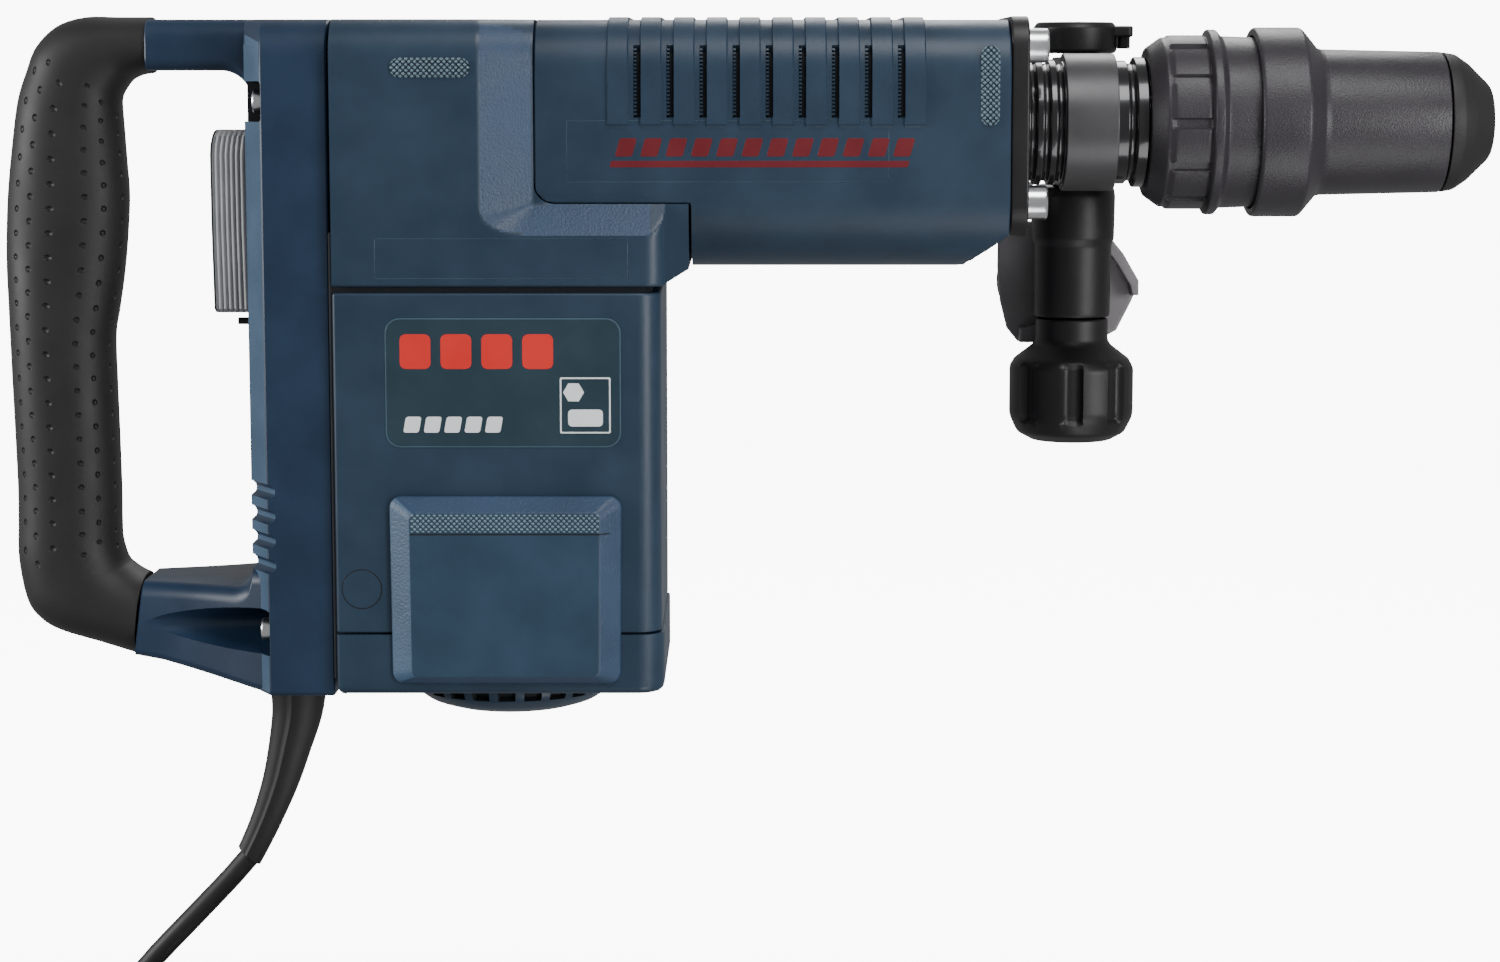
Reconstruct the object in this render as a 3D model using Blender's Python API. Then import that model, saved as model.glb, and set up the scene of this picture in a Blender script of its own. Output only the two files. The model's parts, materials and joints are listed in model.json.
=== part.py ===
"""Demolition hammer: an assembly of separate pieces, drawn in millimetres and built in metres.

+X is the hammer axis, towards the chisel. +Z is up and the motor hangs below. +Y is the tool's left.
The origin is on the hammer axis, at the middle of the neck that the side handle clamps.
"""

import math

import bmesh
import bpy
from mathutils import Vector

MM = 0.001
GAP = 0.3  # between neighbouring pieces

# Driving dimensions of the casings
BODY_REAR = -284.0  # seam between the handle and the housings
BODY_HALF = 54.0  # half width over the flat flanks
BODY_TOP = 38.7
HOUSING_SEAM = -61.2  # between the gear housing and the motor housing
END_CAP_SEAM = -190.5
BODY_FOOT = -213.5
BODY_FRONT = -162.5
WALL = 3.0
BARREL_REAR = -209.5
BARREL_HALF = 46.0
BARREL_FOOT = -54.0
BARREL_STEP_X = -151.0
BARREL_STEP_Z = -33.0
FLANGE_REAR = -31.6
FLANGE_FRONT = -24.5

# Handle
ARM_END = -355.5
LOWER_ARM_END = -362.0
HANDLE_HALF = 50.0
HANDLE_RIDGE = -318.0  # the rear face of the block, on the middle plane
HANDLE_FOOT = -215.0
SCREW_Y = 38.0
SCREW_HEIGHTS = (8.3, -191.2)

# Motor and drive
MOTOR_X = -224.0
GEAR_MODULE = 1.0
PINION_TEETH = 12
GEAR_TEETH = 45
CRANK_X = MOTOR_X - GEAR_MODULE * (PINION_TEETH + GEAR_TEETH) / 2
CRANK_THROW = 15.0
ROD_LENGTH = 62.0
WRIST_X = CRANK_X - CRANK_THROW + ROD_LENGTH
BORE_RADIUS = 18.0
PISTON_RADIUS = BORE_RADIUS - 0.45

# Neck, tool holder and side handle
NECK_RADIUS = 24.9
SHANK_RADIUS = 9.1  # for an 18 mm chisel shank
SPINDLE_RADIUS = 17.0
BOLT = (1.0, 52.0)  # the side handle's clamp bolt stands beside the neck
GRIP_AXIS = (2.0, -72.0)
SLEEVE_REAR = 63.5
SLEEVE_FRONT = 138.2
NOSE_FRONT = 157.7

# Mains cord
CORD_RADIUS = 4.25
FLOOR_Z = -376.0
COIL_CENTRE = (-310.0, -30.0)
COIL_INNER = 30.0
COIL_OUTER = 64.0
COIL_HEIGHT = 25.5

PALETTE = {
    "blue_housing": ((0.055, 0.105, 0.165), 0.42, 0.0),
    "black_rubber": ((0.022, 0.021, 0.022), 0.7, 0.0),
    "black_plastic": ((0.03, 0.029, 0.032), 0.45, 0.0),
    "grey_plastic": ((0.42, 0.42, 0.42), 0.5, 0.0),
    "bright_steel": ((0.62, 0.63, 0.65), 0.28, 1.0),
    "dark_steel": ((0.12, 0.12, 0.13), 0.3, 1.0),
    "cast_aluminium": ((0.5, 0.51, 0.52), 0.5, 1.0),
    "copper_winding": ((0.45, 0.19, 0.07), 0.45, 1.0),
    "lamination_steel": ((0.25, 0.25, 0.27), 0.5, 1.0),
    "carbon": ((0.03, 0.03, 0.03), 0.6, 0.0),
    "brass": ((0.6, 0.42, 0.15), 0.35, 1.0),
}


# ---------------------------------------------------------------- shapes: (points, faces) in millimetres


def stack(loops):
    """A closed solid through loops of points, all with the same count; the two end loops are capped."""
    count = len(loops[0])
    points = [p for loop in loops for p in loop]
    faces = [tuple(range(count)), tuple(range(len(points) - count, len(points)))]
    for k in range(len(loops) - 1):
        for i in range(count):
            j = (i + 1) % count
            faces.append((k * count + i, k * count + j, (k + 1) * count + j, (k + 1) * count + i))
    return points, faces


def placed(axis, along, a, b):
    """A point at along on the named axis, with a and b on the two other axes in X, Y, Z order."""
    return {"X": (along, a, b), "Y": (a, along, b), "Z": (a, b, along)}[axis]


def prism(outline, axis, low, high):
    return stack([[placed(axis, at, a, b) for a, b in outline] for at in (low, high)])


def box(low, high):
    outline = [(low[0], low[1]), (high[0], low[1]), (high[0], high[1]), (low[0], high[1])]
    return prism(outline, "Z", low[2], high[2])


def turned(profile, axis="X", centre=(0, 0), steps=18, turn=0.0):
    """A solid of revolution. profile is a closed outline of (along, radius) points."""
    points, faces, rings = [], [], []
    for along, radius in profile:
        rings.append((len(points), radius > 0))
        angles = [turn + math.tau * i / steps for i in range(steps if radius > 0 else 1)]
        points += [
            placed(axis, along, centre[0] + radius * math.cos(t), centre[1] + radius * math.sin(t))
            for t in angles
        ]
    for (start, wide), (after, wide_after) in zip(rings, rings[1:] + rings[:1]):
        for i in range(steps):
            j = (i + 1) % steps
            if wide and wide_after:
                faces.append((start + i, start + j, after + j, after + i))
            elif wide:
                faces.append((start + i, start + j, after))
            elif wide_after:
                faces.append((start, after + j, after + i))
    return points, faces


def cylinder(axis, low, high, radius, centre=(0, 0), steps=18, turn=0.0):
    return turned([(low, 0), (low, radius), (high, radius), (high, 0)], axis, centre, steps, turn)


def tube(axis, low, high, inner, outer, centre=(0, 0), steps=18):
    return turned([(low, inner), (low, outer), (high, outer), (high, inner)], axis, centre, steps)


def rounded(low, high, radii, corner_steps=4):
    """A rectangle's outline with a radius for each corner, from the low corner anticlockwise."""
    corners = [(low[0], low[1]), (high[0], low[1]), (high[0], high[1]), (low[0], high[1])]
    outline = []
    for k, ((a, b), radius) in enumerate(zip(corners, radii)):
        if radius <= 0:
            outline.append((a, b))
            continue
        ca = a + (radius if k in (0, 3) else -radius)
        cb = b + (radius if k in (0, 1) else -radius)
        for i in range(corner_steps + 1):
            t = math.pi + k * math.pi / 2 + i * math.pi / 2 / corner_steps
            outline.append((ca + radius * math.cos(t), cb + radius * math.sin(t)))
    return outline


# ---------------------------------------------------------------- objects


def material(name):
    found = bpy.data.materials.get(name)
    if found:
        return found
    colour, roughness, metallic = PALETTE[name]
    made = bpy.data.materials.new(name)
    made.use_nodes = True
    shader = made.node_tree.nodes["Principled BSDF"]
    shader.inputs["Base Color"].default_value = (*colour, 1)
    shader.inputs["Roughness"].default_value = roughness
    shader.inputs["Metallic"].default_value = metallic
    return made


def solid(name, finish, *shapes):
    """One object from one or more separate closed shapes."""
    points, faces = [], []
    for shape_points, shape_faces in shapes:
        faces += [tuple(i + len(points) for i in face) for face in shape_faces]
        points += shape_points
    mesh = bpy.data.meshes.new(name)
    mesh.from_pydata([Vector(p) * MM for p in points], [], faces)
    work = bmesh.new()
    work.from_mesh(mesh)
    bmesh.ops.recalc_face_normals(work, faces=work.faces)
    work.to_mesh(mesh)
    work.free()
    obj = bpy.data.objects.new(name, mesh)
    bpy.context.scene.collection.objects.link(obj)
    mesh.materials.append(material(finish))
    mesh.shade_smooth()
    mesh.set_sharp_from_angle(angle=math.radians(35))
    return obj


def combine(obj, operation, *shapes):
    """Cuts shapes from the object, or joins them to it, each with its own Boolean."""
    for number, shape in enumerate(shapes):
        tool = solid(f"{obj.name}_{operation.lower()}_{len(obj.modifiers)}", "black_plastic", shape)
        tool.hide_render = True
        tool.display_type = "WIRE"
        step = obj.modifiers.new(f"{operation.lower()}_{number}", "BOOLEAN")
        step.operation = operation
        step.solver = "EXACT"
        step.object = tool
    return obj


def cut(obj, *shapes):
    return combine(obj, "DIFFERENCE", *shapes)


def join(obj, *shapes):
    return combine(obj, "UNION", *shapes)


# ---------------------------------------------------------------- rear handle


def block_loops():
    """Rectangles across the handle's block: the flanks are flat and the rear and top are crowned."""
    levels = [(HANDLE_HALF, -310, -213, 26), (46, -312, HANDLE_FOOT, 34.5), (34, -317.5, HANDLE_FOOT, BODY_TOP),
              (0, HANDLE_RIDGE, HANDLE_FOOT, BODY_TOP)]
    front = BODY_REAR - 2 * GAP
    loops = []
    for y, rear, foot, top in levels + [(-y, r, f, t) for y, r, f, t in levels[-2::-1]]:
        loops.append([(rear, y, foot), (front, y, foot), (front, y, top), (rear, y, top)])
    return loops


def arm_section(x, half, low, high, chamfer):
    """An eight-sided section of a handle arm, in the plane at x."""
    side, lip = chamfer
    return [
        (x, -half + 4, low), (x, half - 4, low), (x, half, low + 4), (x, half, high - lip),
        (x, half - side, high), (x, -half + side, high), (x, -half, high - lip), (x, -half, low + 4),
    ]


def inner_fillet(corner, radius, up):
    """The material between a quarter round of the D opening and its square corner."""
    cx, cz = corner[0] - radius, corner[1] + (-radius if up else radius)
    start = 0.0 if up else -math.pi / 2
    arc = [start + math.pi / 2 * i / 5 for i in range(6)]
    outline = [(cx + radius * math.cos(t), cz + radius * math.sin(t)) for t in arc]
    outer = (corner[0] + 3, corner[1] + (3 if up else -3))
    first, last = outline[0], outline[-1]
    if up:
        outline += [(last[0], outer[1]), outer, (outer[0], first[1])]
    else:
        outline += [(outer[0], last[1]), outer, (first[0], outer[1])]
    return prism(outline, "Y", -15, 15)


def handle_shell(name, side):
    shell = solid(name, "blue_housing", stack(block_loops()))
    upper = stack([arm_section(x, 21, 19.7, BODY_TOP - 0.2, (8, 6)) for x in (ARM_END, -300)])
    lower = stack([
        arm_section(LOWER_ARM_END, 21, -204.5, -176.5, (10, 6)),
        arm_section(-315, 43, -214.5, -176, (20, 7)),
        arm_section(-300, 43, -214.5, -176, (20, 7)),
    ])
    join(shell, upper, lower, inner_fillet((-317, 20), 12, True), inner_fillet((-317, -177.5), 8, False))
    cut(shell, box((-307, -46, -211), (-280, 46, 34)))
    cut(shell, box((-330, -13.6, -78.6), (-300, 13.6, -1)))
    cut(shell, cylinder("Z", -220, -205, 6.2, (-301, 0), 16, math.pi / 16))
    for z, reach, half, inner in zip(SCREW_HEIGHTS, (-330, -352), (7.5, 8.2), (29, 27)):
        low, high = sorted((side * inner, side * 60))
        cut(shell, box((reach, low, z - half), (-309.8, high, z + half)))
        cut(shell, cylinder("X", -320, -280, 2.9, (side * SCREW_Y, z), 12))
    for k in range(4):
        cut(shell, cylinder("Y", -14, 14, 2.6, (-320, -137 - 9.4 * k), 10))
    low, high = sorted((side * 0.15, side * -70))
    return cut(shell, box((-400, low, -260), (-250, high, 80)))


# Stations of the grip from its top end to its bottom end: (x, z, way of the centre line in degrees, half depth)
GRIP_STATIONS = [
    (-356.0, 29.3, 180, 10.7), (-371.0, 29.0, 184, 11.3), (-383.0, 23.0, 212, 15.5), (-387.6, 11.0, 250, 18.0),
    (-389.8, -6.0, 266, 20.8), (-391.5, -24.0, 268, 22.5), (-392.3, -42.0, 270, 23.3), (-393.2, -58.0, 270, 22.5),
    (-394.7, -78.0, 271, 20.6), (-394.6, -100.0, 270, 20.0), (-394.0, -131.0, 269, 19.9),
    (-393.6, -158.0, 273, 19.8), (-389.4, -176.0, 300, 19.8), (-379.0, -186.5, 335, 17.2),
    (-362.5, -191.0, 360, 15.6),
]


def grip_loop(station, depth_scale, half_width, count=12):
    """A superellipse section across the grip's centre line."""
    x, z, way, depth = station
    t = math.radians(way)
    across = Vector((math.sin(t), 0, -math.cos(t)))
    loop = []
    for i in range(count):
        a = math.tau * i / count
        u = math.copysign(abs(math.cos(a)) ** 0.8, math.cos(a)) * depth * depth_scale
        v = math.copysign(abs(math.sin(a)) ** 0.8, math.sin(a)) * half_width
        loop.append((x + across.x * u, v, z + across.z * u))
    return loop


def rear_grip():
    """The rubber sleeve is a tube over the core, open at both ends."""
    outer = [grip_loop(s, 1.0, 19.0) for s in GRIP_STATIONS]
    inner = [grip_loop(s, 0.58, 11.0) for s in GRIP_STATIONS]
    count, rows = len(outer[0]), len(outer)
    points = [p for loop in outer + inner for p in loop]
    faces = []
    for i in range(count):
        j = (i + 1) % count
        for k in range(rows - 1):
            for start in (0, rows * count):
                a = start + k * count
                faces.append((a + i, a + j, a + count + j, a + count + i))
        for k in (0, (rows - 1) * count):
            faces.append((k + i, k + j, rows * count + k + j, rows * count + k + i))
    solid("rear_grip", "black_rubber", (points, faces))
    solid("grip_core", "black_plastic", stack([grip_loop(s, 0.545, 10.3) for s in GRIP_STATIONS]))


def switch_parts():
    outline = [(-333.8, -9), (-331.5, -3), (-318, -2.6), (-313, -5), (-313, -11), (-318.6, -15),
               (-320, -72.6), (-329, -73), (-332.6, -68)]
    solid("switch_paddle", "grey_plastic", prism(outline, "Y", -12.8, 12.8))
    block = solid("switch_block", "black_plastic", box((-306.5, -13, -79.5), (-291, 13, -14)))
    join(block, cylinder("X", -309.8, -304, 3, (0, -50), 12), cylinder("X", -327, -304, 1.4, (0, -76.5), 12))
    module = solid("control_module", "black_plastic", box((-305, -32, -160), (-290, 32, -100)))
    join(module, *[box((-291, y - 1, -156), (-288.5, y + 1, -104)) for y in (-24, -12, 0, 12, 24)])


def socket_screw(axis_point, x_head, head_length, head_radius, shank_radius, x_end, steps=16):
    """A cap screw along X: head behind, hexagon socket in the outer face, shank in front. Negative lengths face +X."""
    outer = x_head
    seat = x_head + head_length
    floor = x_head + 0.55 * head_length
    profile = [
        (floor, 0), (floor, 0.45 * head_radius), (outer, 0.5 * head_radius), (outer, head_radius),
        (seat, head_radius), (seat, shank_radius), (x_end, shank_radius), (x_end, 0),
    ]
    return turned(profile, "X", axis_point, steps)


def handle_screws():
    places = [(side * SCREW_Y, z) for side in (-1, 1) for z in SCREW_HEIGHTS]
    for number, place in enumerate(places, 1):
        solid(f"handle_screw_{number}", "bright_steel", socket_screw(place, -314.3, 4.2, 4.6, 2.5, -273, 12))


# ---------------------------------------------------------------- casings


def quarter(corner, radius, steps=4):
    """An arc that rounds an inner corner, from below it to its right."""
    return [(corner[0] + radius * (1 - math.cos(t)), corner[1] + radius * (1 - math.sin(t)))
            for t in [math.pi / 2 * i / steps for i in range(steps + 1)]]


def gear_loop(y, top, corner, ledge, front):
    """Outline across the gear housing at y: the notch for the barrel is on its upper right."""
    foot = HOUSING_SEAM + 1.2
    outline = [(BODY_REAR, foot), (-168, foot), (front, foot + 6), (front, ledge - 4), (front - 4, ledge)]
    outline += corner[::-1] + [(corner[0][0], top), (BODY_REAR, top)]
    return [(x, y, z) for x, z in outline]


def gear_housing():
    """The flanks step in to the barrel along a wide slope, and the top edges are round."""
    flank = quarter((-229.4, -40.8), 15)
    base = quarter((BARREL_REAR - GAP, BARREL_STEP_Z - GAP), 9)
    half = [
        gear_loop(BODY_HALF, 22, flank, -40.8, -164.5),
        gear_loop(46.5, 33, base, BARREL_STEP_Z - GAP, -160),
        gear_loop(40, 37.5, base, BARREL_STEP_Z - GAP, -155),
        gear_loop(30, BODY_TOP, base, BARREL_STEP_Z - GAP, -153),
    ]
    mirrored = [[(x, -y, z) for x, y, z in row] for row in reversed(half)]
    shell = solid("gear_housing", "blue_housing", stack(half + mirrored))
    cut(shell, box((-281, -43, -80), (-213.5, 43, 35.2)))
    cut(shell, box((-220, -43, -80), (-166, 43, -44)))
    cut(shell, cylinder("X", -230, -200, 29.5, steps=24))
    for y in (-SCREW_Y, SCREW_Y):
        join(shell, cylinder("X", -282, -268, 5.5, (y, SCREW_HEIGHTS[0]), 12))
        cut(shell, cylinder("X", -300, -271, 2.9, (y, SCREW_HEIGHTS[0]), 12))
    return shell


def barrel_section(x, inset=0.0):
    """Section of the barrel cover: round shoulders above, larger rounds below."""
    outline = rounded((-BARREL_HALF + inset, BARREL_FOOT + inset), (BARREL_HALF - inset, BODY_TOP - inset),
                      (30 - inset, 30 - inset, 20 - inset, 20 - inset), 4)
    return [(x, y, z) for y, z in outline]


def barrel_cover():
    front = FLANGE_REAR - GAP
    cover = solid("barrel_cover", "blue_housing", stack([barrel_section(x) for x in (BARREL_REAR, front)]))
    cut(cover, stack([barrel_section(x, WALL) for x in (BARREL_REAR - 5, -62)]))
    mouth = rounded((-BARREL_HALF + WALL, -37.5), (BARREL_HALF - WALL, BODY_TOP - WALL), (8, 8, 17, 17), 4)
    cut(cover, prism(mouth, "X", -66, front + 5))
    step = [(BARREL_REAR - 20, -90), (BARREL_STEP_X, -90), (BARREL_STEP_X, BARREL_STEP_Z - 5),
            (BARREL_STEP_X - 5, BARREL_STEP_Z)]
    step += quarter((BARREL_REAR, BARREL_STEP_Z), 9)[::-1] + [(BARREL_REAR - 20, BARREL_STEP_Z + 9)]
    cut(cover, prism(step, "Y", -60, 60))
    chamfer = [(-48, BARREL_FOOT - 0.2), (-48, -70), (-20, -70), (-20, -40), (-31, -41)]
    cut(cover, prism(chamfer, "Y", -60, 60))
    ribs = [stack([[(-181.5 + 12.27 * k + dx, y, z) for y, z in rib_outline()] for dx in (0, 7.2)]) for k in range(10)]
    return join(cover, *ribs)


def rib_outline():
    """A strap that lies over the barrel's shoulders, 1 mm proud of them."""
    arc = [math.pi / 2 * i / 4 for i in range(5)]
    outer, inner = 21.0, 18.8
    cy, cz = BARREL_HALF - 20, BODY_TOP - 20
    right_out = [(cy + outer * math.cos(t), cz + outer * math.sin(t)) for t in arc]
    right_in = [(cy + inner * math.cos(t), cz + inner * math.sin(t)) for t in arc]
    out = [(cy + outer, 0)] + right_out + [(-y, z) for y, z in reversed(right_out)] + [(-cy - outer, 0)]
    back = [(cy + inner, 0)] + right_in + [(-y, z) for y, z in reversed(right_in)] + [(-cy - inner, 0)]
    return out + back[::-1]


def motor_casings():
    section = rounded((BODY_REAR, -BODY_HALF), (BODY_FRONT, BODY_HALF), (2, 9, 9, 2), 3)
    inner = rounded((BODY_REAR + WALL, -BODY_HALF + WALL), (BODY_FRONT - WALL, BODY_HALF - WALL), (1, 6, 6, 1), 3)
    low, high = END_CAP_SEAM + GAP / 2, HOUSING_SEAM - 1.1
    housing = solid("motor_housing", "blue_housing", prism(section, "Z", low, high))
    cut(housing, prism(inner, "Z", low - 5, high + 5))
    for y in (-60, 60):
        cut(housing, box((-236, y - 30, -188), (-212, y + 30, -168)))

    section = rounded((BODY_REAR, -BODY_HALF - 0.6), (BODY_FRONT + 2.7, BODY_HALF + 0.6), (2, 10, 10, 2), 3)
    foot = rounded((BODY_REAR + 1, -BODY_HALF + 2.4), (BODY_FRONT - 1.3, BODY_HALF - 2.4), (2, 9, 9, 2), 3)
    levels = [(BODY_FOOT, foot), (BODY_FOOT + 4, section), (END_CAP_SEAM - GAP / 2, section)]
    cap = solid("motor_end_cap", "blue_housing", stack([[(x, y, z) for x, y in loop] for z, loop in levels]))
    cut(cap, prism(inner, "Z", BODY_FOOT + 4, -150))
    for y in (-SCREW_Y, SCREW_Y):
        join(cap, box((-283, y - 5, -209.5), (-268, y + 5, -192)))
        cut(cap, cylinder("X", -300, -271, 2.9, (y, SCREW_HEIGHTS[1]), 12))
        cut(housing, cylinder("X", -300, -270, 5.2, (y, SCREW_HEIGHTS[1]), 12))
    cut(cap, cylinder("Z", -230, -208, 26, (MOTOR_X, 0)))

    dome = [(BODY_FOOT - GAP, 27.5), (BODY_FOOT - GAP, 36.5), (-218, 35.5), (-221.5, 31), (-223.5, 22), (-224, 10),
            (-224, 0), (-221, 0), (-221, 12), (-218.5, 25)]
    grille = solid("vent_grille", "blue_housing", turned(dome, "Z", (MOTOR_X, 0), 24))
    for k in range(12):
        t = math.tau * (k + 0.5) / 12
        c, s = math.cos(t), math.sin(t)
        corners = [(16, -2.4), (27, -3.6), (27, 3.6), (16, 2.4)]
        window = [(MOTOR_X + a * c - b * s, a * s + b * c) for a, b in corners]
        cut(grille, prism(window, "Z", -230, -216))


def brush_cover(name, side):
    """A cup with sloping sides over the brush holder, which slides down off the flank."""
    base = rounded((-263.2, -209), (-176.9, -138), (4, 4, 4, 4), 3)
    shelf = rounded((-262.7, -208.5), (-177.4, -138.5), (4, 4, 4, 4), 3)
    crown = rounded((-255, -206), (-184.4, -143.4), (3, 3, 3, 3), 3)
    levels = [(BODY_HALF + 0.9, base), (BODY_HALF + 3, shelf), (BODY_HALF + 8, crown)]
    loops = [[(x, side * y, z) for x, z in outline] for y, outline in levels]
    cover = solid(name, "blue_housing", stack(loops))
    hollow = prism(rounded((-253, -203), (-187, -147), (3, 3, 3, 3), 2), "Y", *sorted((side * 50, side * 59.5)))
    return cut(cover, hollow)


# ---------------------------------------------------------------- front end


BOLT_PLACES = [(y, z) for y in (-33, 33) for z in (29.0, -29.5)]


def front_end():
    plate = rounded((-43, -42.5), (43, BODY_TOP + 1.3), (15, 15, 12, 12), 4)
    flange = solid("front_flange", "black_plastic", prism(plate, "X", FLANGE_REAR, FLANGE_FRONT))
    cut(flange, cylinder("X", -50, 0, 25))
    for place in BOLT_PLACES:
        cut(flange, cylinder("X", -50, 0, 4.3, place, 12))
    for number, place in enumerate(BOLT_PLACES, 1):
        solid(f"flange_bolt_{number}", "bright_steel", socket_screw(place, -17, -7.2, 6.5, 4.0, -46, 12))

    neck = [(-31, 20), (-31, 24.6), (-24.2, 24.6), (-24.2, 24), (-21.5, 24), (-20.8, 22.9), (-19, 22.9), (-18.3, 24),
            (-15.8, 24), (-15.1, 22.9), (-13.4, 22.9), (-12.7, 24), (11.3, 24), (11.3, NECK_RADIUS),
            (16, NECK_RADIUS), (17, 23.6), (18.6, 23.6), (19.6, NECK_RADIUS), (22.4, NECK_RADIUS), (22.4, 20)]
    solid("neck_sleeve", "dark_steel", turned(neck, steps=20))


def side_handle():
    band = solid("clamp_band", "grey_plastic", tube("X", -9, 11, 24.3, 26.3, steps=20))
    join(band, box((-8.5, 8, 18), (10.5, 60, 25)), box((-8.5, 8, -25), (10.5, 60, -18)))
    cut(band, cylinder("X", -30, 40, 24.3, steps=20), cylinder("Z", -40, 40, 4.6, BOLT, 16))
    bolt = [(-120, 0), (-120, 4.0), (25.4, 4.0), (25.4, 15.5), (36, 15.5), (39, 13.5), (39, 0)]
    head = solid("clamp_bolt", "black_plastic", turned(bolt, "Z", BOLT, 24))
    join(head, box((13, BOLT[1] - 6, 33), (21.5, BOLT[1] + 6, 38.5)))
    boss = [(-78.5, 4.6), (-78.5, 15.2), (-50, 15.5), (-25.3, 15.5), (-25.3, 4.6)]
    bracket = solid("handle_bracket", "black_plastic", turned(boss, "Z", BOLT, 24))
    join(bracket, cylinder("Y", 60, 72.7, 12.5, (2, -62), 20))
    cut(bracket, cylinder("Z", -90, 0, 4.6, BOLT, 16))
    knob = [(-128.4, 0), (-128.4, 15), (-124, 22), (-117.4, 24.8), (-98, 24.8), (-94.5, 22), (-88, 14.5),
            (-78.8, 14.5), (-78.8, 4.6), (-122, 4.6), (-122, 0)]
    handle_knob = solid("clamp_knob", "black_plastic", turned(knob, "Z", BOLT, 24))
    for k in range(8):
        t = math.tau * (k + 0.5) / 8
        place = (BOLT[0] + 29.6 * math.cos(t), BOLT[1] + 29.6 * math.sin(t))
        cut(handle_knob, cylinder("Z", -121, -96.5, 6.6, place, 10))
    guard = [(-25, -52), (-18, -45), (10, -45), (16, -48), (29, -66), (29, -71), (22, -86), (14, -90), (-10, -91),
             (-18, -88), (-25, -78)]
    grip = solid("side_grip", "black_rubber", prism(guard, "Y", 73, 79))
    bar = [(78, 0), (78, 16), (95, 16.5), (125, 18.2), (155, 17.5), (172, 16), (180, 21.5), (188, 22), (194, 17),
           (195, 10), (195, 0)]
    join(grip, turned(bar, "Y", GRIP_AXIS, 20))


# ---------------------------------------------------------------- tool holder


def tool_holder():
    spindle = [(-19, 12.2), (-19, 19), (21, 19), (21, SPINDLE_RADIUS), (92, SPINDLE_RADIUS), (92, 22), (96, 22),
               (96, SPINDLE_RADIUS), (145, SPINDLE_RADIUS), (145, SHANK_RADIUS), (6, SHANK_RADIUS), (6, 12.2)]
    body = solid("tool_spindle", "bright_steel", turned(spindle, steps=20))
    cut(body, box((110, -25, -4.3), (127, 25, 4.3)))
    for number, y in enumerate((-12.6, 12.6), 1):
        solid(f"locking_roller_{number}", "bright_steel", cylinder("X", 110.5, 126.5, 3.9, (y, 0), 12))

    ring = [(22.7, 19.5), (22.7, 28.5), (28.7, 33), (45.5, 33), (46.5, 34.7), (50, 34.7), (51.1, 32.3), (68, 32.3),
            (68, 19.5)]
    vario = solid("angle_ring", "black_plastic", turned(ring, steps=20))
    for k in range(12):
        t = math.tau * (k + 0.5) / 12
        corners = [(32.2, -1.6), (35.4, -1.6), (35.4, 1.6), (32.2, 1.6)]
        groove = [(a * math.cos(t) - b * math.sin(t), a * math.sin(t) + b * math.cos(t)) for a, b in corners]
        cut(vario, prism(groove, "X", 31, 44.5))

    sleeve = [(SLEEVE_REAR, 33), (SLEEVE_REAR, 35.6), (64.3, 36.2), (81.9, 36.2), (88.8, 28.1), (SLEEVE_FRONT, 26.6),
              (SLEEVE_FRONT, 17.6), (124, 17.6), (124, 23.5), (86, 23.5), (81, 27), (81, 33)]
    solid("locking_sleeve", "black_plastic", turned(sleeve, steps=20))
    cap = [(138.6, 17.4), (138.6, 26.6), (147.5, 24.3), (155.5, 16.9), (NOSE_FRONT, 13.5), (NOSE_FRONT, 9.8),
           (145.4, 9.8), (145.4, 17.4)]
    solid("dust_cap", "black_rubber", turned(cap, steps=20))
    spring_coil()


def spring_coil():
    """The sleeve's return spring, a round wire wound on the spindle in front of its collar."""
    turns, steps, wire, radius = 3.5, 12, 1.3, 20.6
    first, last = 96.4 + wire, 115.6 - wire
    loops = []
    total = int(turns * steps)
    for i in range(total + 1):
        t = math.tau * i / steps
        x = first + (last - first) * i / total
        centre = Vector((x, radius * math.cos(t), radius * math.sin(t)))
        out = Vector((0, math.cos(t), math.sin(t)))
        loops.append([tuple(centre + wire * (math.cos(a) * out + math.sin(a) * Vector((1, 0, 0))))
                      for a in [math.tau * k / 5 for k in range(5)]])
    solid("sleeve_spring", "bright_steel", stack(loops))


# ---------------------------------------------------------------- striking mechanism


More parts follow.
